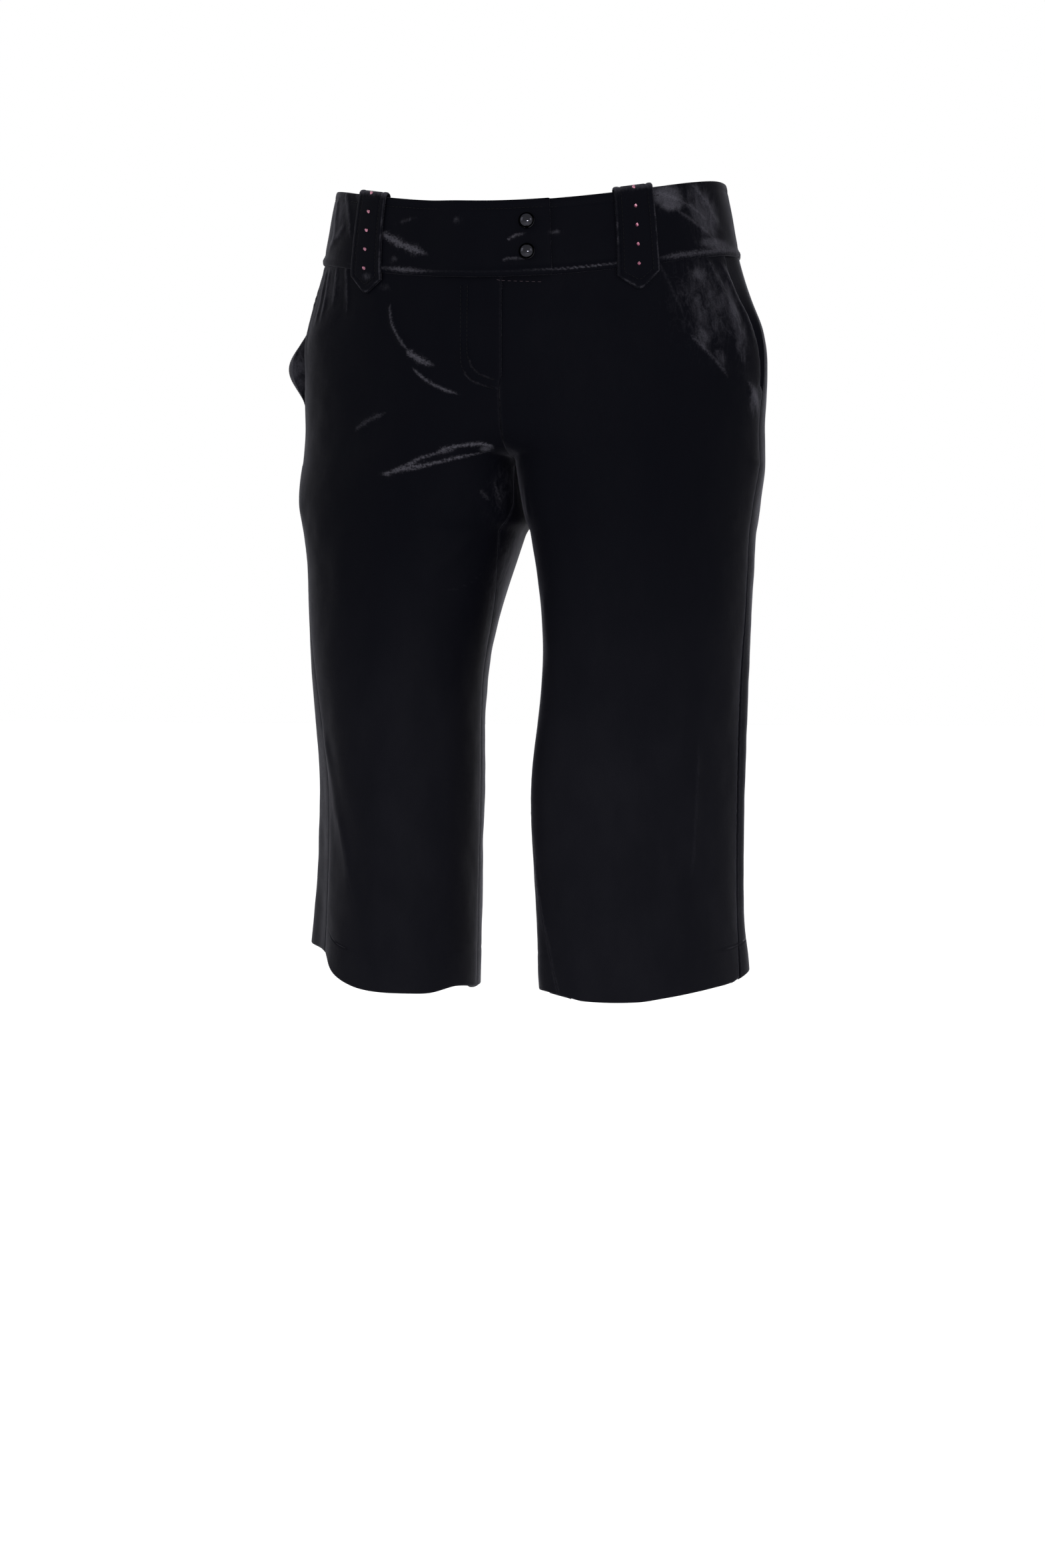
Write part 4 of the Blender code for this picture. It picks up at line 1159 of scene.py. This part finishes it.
bpy.ops.mesh.primitive_cylinder_add(vertices=12, radius=STONE_WIDE / 2, depth=STONE_TALL, location=(0, 0, 0))
stone_model = bpy.context.active_object
bpy.ops.object.mode_set(mode="EDIT")
select_faces(stone_model, 1)
bpy.ops.transform.resize(value=(0.52, 0.52, 1))
bpy.ops.mesh.inset(thickness=0.00012, depth=0)
bpy.ops.object.mode_set(mode="OBJECT")
rose_glass = stone_material()
for word in TAB_ACROSS:
    for k in range(STONES):
        name = f"stone_{word}_{k + 1}"
        down = STONE_FIRST + STONE_PITCH * k
        low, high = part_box(name)
        centre = (low + high) / 2
        bend = math.asin(max((TAB_REACH - down) / TAB_REACH, 0.0))
        side = LEFT if TAB_ACROSS[word] > 0 else RIGHT
        level = Vector(outward(side, centre.z, 90 + abs(tab_middle(word, down))))
        facing = (level * math.cos(bend) + Vector((0, 0, 1)) * math.sin(bend)).normalized()
        mesh = stone_model.data.copy()
        turn_out(mesh, centre, facing)
        mesh.materials.append(rose_glass)
        stone = put(f"{name}_cut", mesh)
        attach(stone, "root")
        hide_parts(name)
bpy.data.objects.remove(stone_model)

# ---- The buttons ---------------------------------------------------------------------------------------
# Two domed caps of polished gunmetal with a rolled rim, which fasten the band's lap one above the other.

BUTTON_WIDE, BUTTON_TALL = 0.0118, 0.0052


def gunmetal_material():
    metal = Finish("polished_gunmetal")
    scratches = metal.mottle(2600, 3, 0.7)
    metal.colour(metal.mottle(420, 4, 0.6), (0.016, 0.016, 0.020), (0.028, 0.028, 0.033))
    metal.rough(scratches, 0.08, 0.03)
    metal.shader.inputs["Metallic"].default_value = 1.0
    metal.shader.inputs["Specular Tint"].default_value = (0.25, 0.25, 0.28, 1.0)
    metal.bump(scratches, 0.03, 0.00005)
    return metal.material


gunmetal = gunmetal_material()
RIM = BUTTON_WIDE / 2
FOOT_SHARE = 0.88  # the foot's radius as a share of the rim's
CAP_STEPS = (  # each ring's radius as a share of the rim's, and its height as a share of the cap's
    (1.00, 0.06),
    (1.00, 0.20),
    (0.93, 0.27),
    (0.90, 0.33),
    (0.84, 0.55),
    (0.70, 0.76),
    (0.48, 0.91),
    (0.22, 0.985),
)
button_turn = turn_at(BUTTON_ACROSS, -BAND_HEIGHT / 2)
for k, drop in enumerate(BUTTON_DROPS):
    name = f"button_{k + 1}"
    foot = RIM * FOOT_SHARE
    bpy.ops.mesh.primitive_circle_add(vertices=48, radius=foot, fill_type="NGON", location=(0, 0, 0))
    button = bpy.context.active_object
    button.name = f"{name}_cap"
    bpy.ops.object.mode_set(mode="EDIT")
    radius, tall = FOOT_SHARE, 0.0
    for share, level in CAP_STEPS:
        extrude_up((level - tall) * BUTTON_TALL, share / radius, share / radius)
        radius, tall = share, level
    bpy.ops.mesh.poke(offset=(1 - tall) * BUTTON_TALL)
    bpy.ops.object.mode_set(mode="OBJECT")
    form = bmesh.new()
    form.from_mesh(button.data)
    bmesh.ops.holes_fill(form, edges=[edge for edge in form.edges if edge.is_boundary])
    bmesh.ops.recalc_face_normals(form, faces=form.faces)
    form.to_mesh(button.data)
    form.free()
    rounding = button.modifiers.new("rounding", "SUBSURF")
    rounding.levels = rounding.render_levels = 1
    bpy.ops.object.modifier_apply(modifier="rounding")
    bpy.ops.object.shade_smooth()
    height = band_top(button_turn) - drop
    base, facing, _ = round_trunk(np.array(button_turn), height)
    facing = Vector(facing)
    base = Vector(base) + facing * (BAND_PROUD + BAND_THICK + 0.0006)
    turn_out(button.data, base, facing)
    button.data.materials.append(gunmetal)
    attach(button, "root")
    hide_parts(name)

# ---- The stitching -------------------------------------------------------------------------------------
# Black thread in short stitches that sink into the pile: round the band below its upper edge, round the
# tabs, and in a double row beside the fly that curves in below it. A few pale ones show below the band.

STITCH_LONG, STITCH_WIDE, STITCH_PITCH, PALE_PITCH = 0.0025, 0.00050, 0.0032, 0.0044
J_OUTER, J_INNER = 0.0285, 0.0235  # the rows' distances from the centre
J_OUTER_FOOT, J_INNER_FOOT = -0.1575, -0.1515
J_BEND = 0.022


def thread_material(name, colour):
    thread = Finish(name)
    twist = thread.mottle(2400, 2)
    thread.colour(twist, tuple(0.55 * part for part in colour), colour)
    thread.rough(twist, 0.3, 0.35)
    thread.shader.inputs["Specular IOR Level"].default_value = 0.05
    thread.bump(twist, 0.5, 0.0001)
    return thread.material


middle_long, end_long = STITCH_LONG * 0.7, STITCH_LONG * 0.15
bpy.ops.mesh.primitive_cylinder_add(
    vertices=6, radius=STITCH_WIDE / 2, depth=middle_long, location=(0, 0, 0)
)
stitch_model = bpy.context.active_object
bpy.ops.object.mode_set(mode="EDIT")
for way in (1, -1):
    select_faces(stitch_model, way)
    extrude_up(way * end_long, 0.45, 0.45)
bpy.ops.object.mode_set(mode="OBJECT")


def sew(name, rows, material, pitch=STITCH_PITCH):
    """One piece of many stitches along rows of points, each row with its outward directions."""
    places = []
    for path, facing in rows:
        length = np.concatenate(([0], np.cumsum(np.linalg.norm(np.diff(path, axis=0), axis=1))))
        for at in np.arange(pitch / 2, length[-1] - pitch / 2, pitch):
            centre, before, after, out = (
                np.array([np.interp(where, length, axis) for axis in values.T])
                for values, where in ((path, at), (path, at - 0.0008), (path, at + 0.0008), (facing, at))
            )
            along = (after - before) / np.linalg.norm(after - before)
            across = np.cross(out, along)
            across /= np.linalg.norm(across)
            places.append(((across, np.cross(along, across), along), centre))
    piece = put(name, mesh_of(name, *copied(stitch_model, places)))
    piece.data.shade_smooth()
    piece.data.materials.append(material)
    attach(piece, "root")


def band_row(first, last, over):
    turn = np.linspace(first, last, 240)
    points, facing, _ = round_trunk(turn, band_top(turn) - TOPSTITCH_DOWN)
    lift = BAND_PROUD - 0.0003 + (over_lap(turn) if over else 0)
    return points + facing * np.reshape(lift, (-1, 1)), facing


def fly_row(across, foot):
    """Down beside the fly on the wearer's right front, and round to the centre."""
    bend = np.linspace(0, math.pi / 2, 24)
    width = np.concatenate((np.full(24, across), across * np.cos(bend)))
    high = np.concatenate((np.linspace(-0.082, foot + J_BEND, 24), foot + J_BEND - J_BEND * np.sin(bend)))
    width = np.maximum(width, 0.001)
    out, half_width = ring_value(RIGHT, "out", high), ring_value(RIGHT, "half_width", high)
    angle = np.degrees(np.arccos((out - width) / half_width))
    points, facing = bare(RIGHT, high, angle), outward(RIGHT, high, angle)
    return points + facing * 0.0005, facing


def tab_row(word):
    """Round a tab, inside its outline."""
    side = TAB_WIDE / 2 - TAB_STITCH
    foot = TAB_STITCH * 1.45
    corner = foot + (TAB_POINT - 0.0015) * side / (TAB_WIDE / 2)
    outline = [(-side, TAB_STRAIGHT - 0.001), (-side, corner), (-side * 0.12, foot), (side * 0.12, foot)]
    outline += [(side, corner), (side, TAB_STRAIGHT - 0.001)]
    across, along = [], []
    for (x1, y1), (x2, y2) in zip(outline, outline[1:]):
        shares = np.linspace(0, 1, 20)
        across.append(x1 + (x2 - x1) * shares)
        along.append(y1 + (y2 - y1) * shares)
    across, along = np.concatenate(across), np.concatenate(along)
    points = on_tab(word, along, across, np.full(len(along), 0.0002))
    deeper = on_tab(word, along, across, np.full(len(along), 0.0012))
    facing = points - deeper
    return points, facing / np.linalg.norm(facing, axis=1, keepdims=True)


black_thread = thread_material("black_thread", (0.0022, 0.0022, 0.0032))
pale_thread = thread_material("pale_thread", (0.025, 0.019, 0.024))
band_rows = [band_row(first + 1, last - 1, over) for _, first, last, over, _ in BAND_LENGTHS]
sew("band_topstitching", band_rows, black_thread)
sew("fly_topstitching", [fly_row(J_OUTER, J_OUTER_FOOT), fly_row(J_INNER, J_INNER_FOOT)], black_thread)
sew("tab_topstitching", [tab_row(word) for word in TAB_ACROSS], black_thread)

# the pale row, just below the band on both sides of the centre
turn = np.linspace(-1.0, 11.5, 60)
points, facing, _ = round_trunk(turn, band_top(turn) - BAND_HEIGHT - np.linspace(0.0022, 0.0050, 60))
lift = 0.0003 + FLY_PROUD * smooth((2.2 - turn) / 2.0)
sew("pale_stitches", [(points + facing * lift[:, None], facing)], pale_thread, PALE_PITCH)
bpy.data.objects.remove(stitch_model)

# ---- The studio ----------------------------------------------------------------------------------------
# A plain white floor and a white room, soft light from all round with two lamps in front, and the camera
# where the photograph was taken from.

FLOOR_HEIGHT = -1.05
CAMERA_TURN, CAMERA_DIP, CAMERA_AWAY, CAMERA_HIGH, CAMERA_ASIDE = 12, 2.2, 2.6, -0.348, -0.006
PIXELS_TO_FOCUS, PHOTO_TALL, FILM = 5150, 2352, 36

bpy.ops.mesh.primitive_plane_add(size=60, location=(0, 0, FLOOR_HEIGHT))
floor = bpy.context.active_object
floor.name = "floor"
white = bpy.data.materials.new("white_floor")
white.use_nodes = True
shader = white.node_tree.nodes["Principled BSDF"]
shader.inputs["Base Color"].default_value = (0.93, 0.93, 0.93, 1)
shader.inputs["Roughness"].default_value = 0.9
shader.inputs["Emission Color"].default_value = (1, 1, 1, 1)
shader.inputs["Emission Strength"].default_value = 0.25
floor.data.materials.append(white)
floor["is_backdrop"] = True

world = bpy.data.worlds.new("white_room")
world.use_nodes = True
sky = world.node_tree.nodes["Background"]
sky.inputs["Color"].default_value = (1, 1, 1, 1)
sky.inputs["Strength"].default_value = 1.0
bpy.context.scene.world = world

Lamp = namedtuple("Lamp", "name size watts x y z")
LAMPS = (
    Lamp("soft_left", 1.4, 13, -1.9, -1.3, 0.7),
    Lamp("soft_right", 1.0, 8, 1.9, -1.0, 0.5),
    Lamp("front_main", 0.32, 31, 0.72, -2.55, -0.08),
    Lamp("front_second", 0.22, 7, 1.15, -2.35, -0.05),
)
for lamp in LAMPS:
    light = bpy.data.lights.new(lamp.name, "AREA")
    light.size, light.energy = lamp.size, lamp.watts
    holder = put(lamp.name, light)
    holder.location = (lamp.x, lamp.y, lamp.z)
    aim = Vector((0, 0, -0.25)) - holder.location
    holder.rotation_euler = aim.to_track_quat("-Z", "Y").to_euler()

turn, dip = math.radians(CAMERA_TURN), math.radians(CAMERA_DIP)
lens = bpy.data.cameras.new("camera")
lens.sensor_width = FILM
lens.lens = PIXELS_TO_FOCUS / PHOTO_TALL * FILM
camera = put("camera", lens)
camera.location = (
    CAMERA_AWAY * math.sin(turn) + CAMERA_ASIDE * math.cos(turn),
    -CAMERA_AWAY * math.cos(turn) + CAMERA_ASIDE * math.sin(turn),
    CAMERA_HIGH,
)
forward = Vector((-math.sin(turn) * math.cos(dip), math.cos(turn) * math.cos(dip), -math.sin(dip)))
camera.rotation_euler = forward.to_track_quat("-Z", "Y").to_euler()
bpy.context.scene.camera = camera
bpy.context.scene.view_settings.view_transform = "Standard"

low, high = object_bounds()
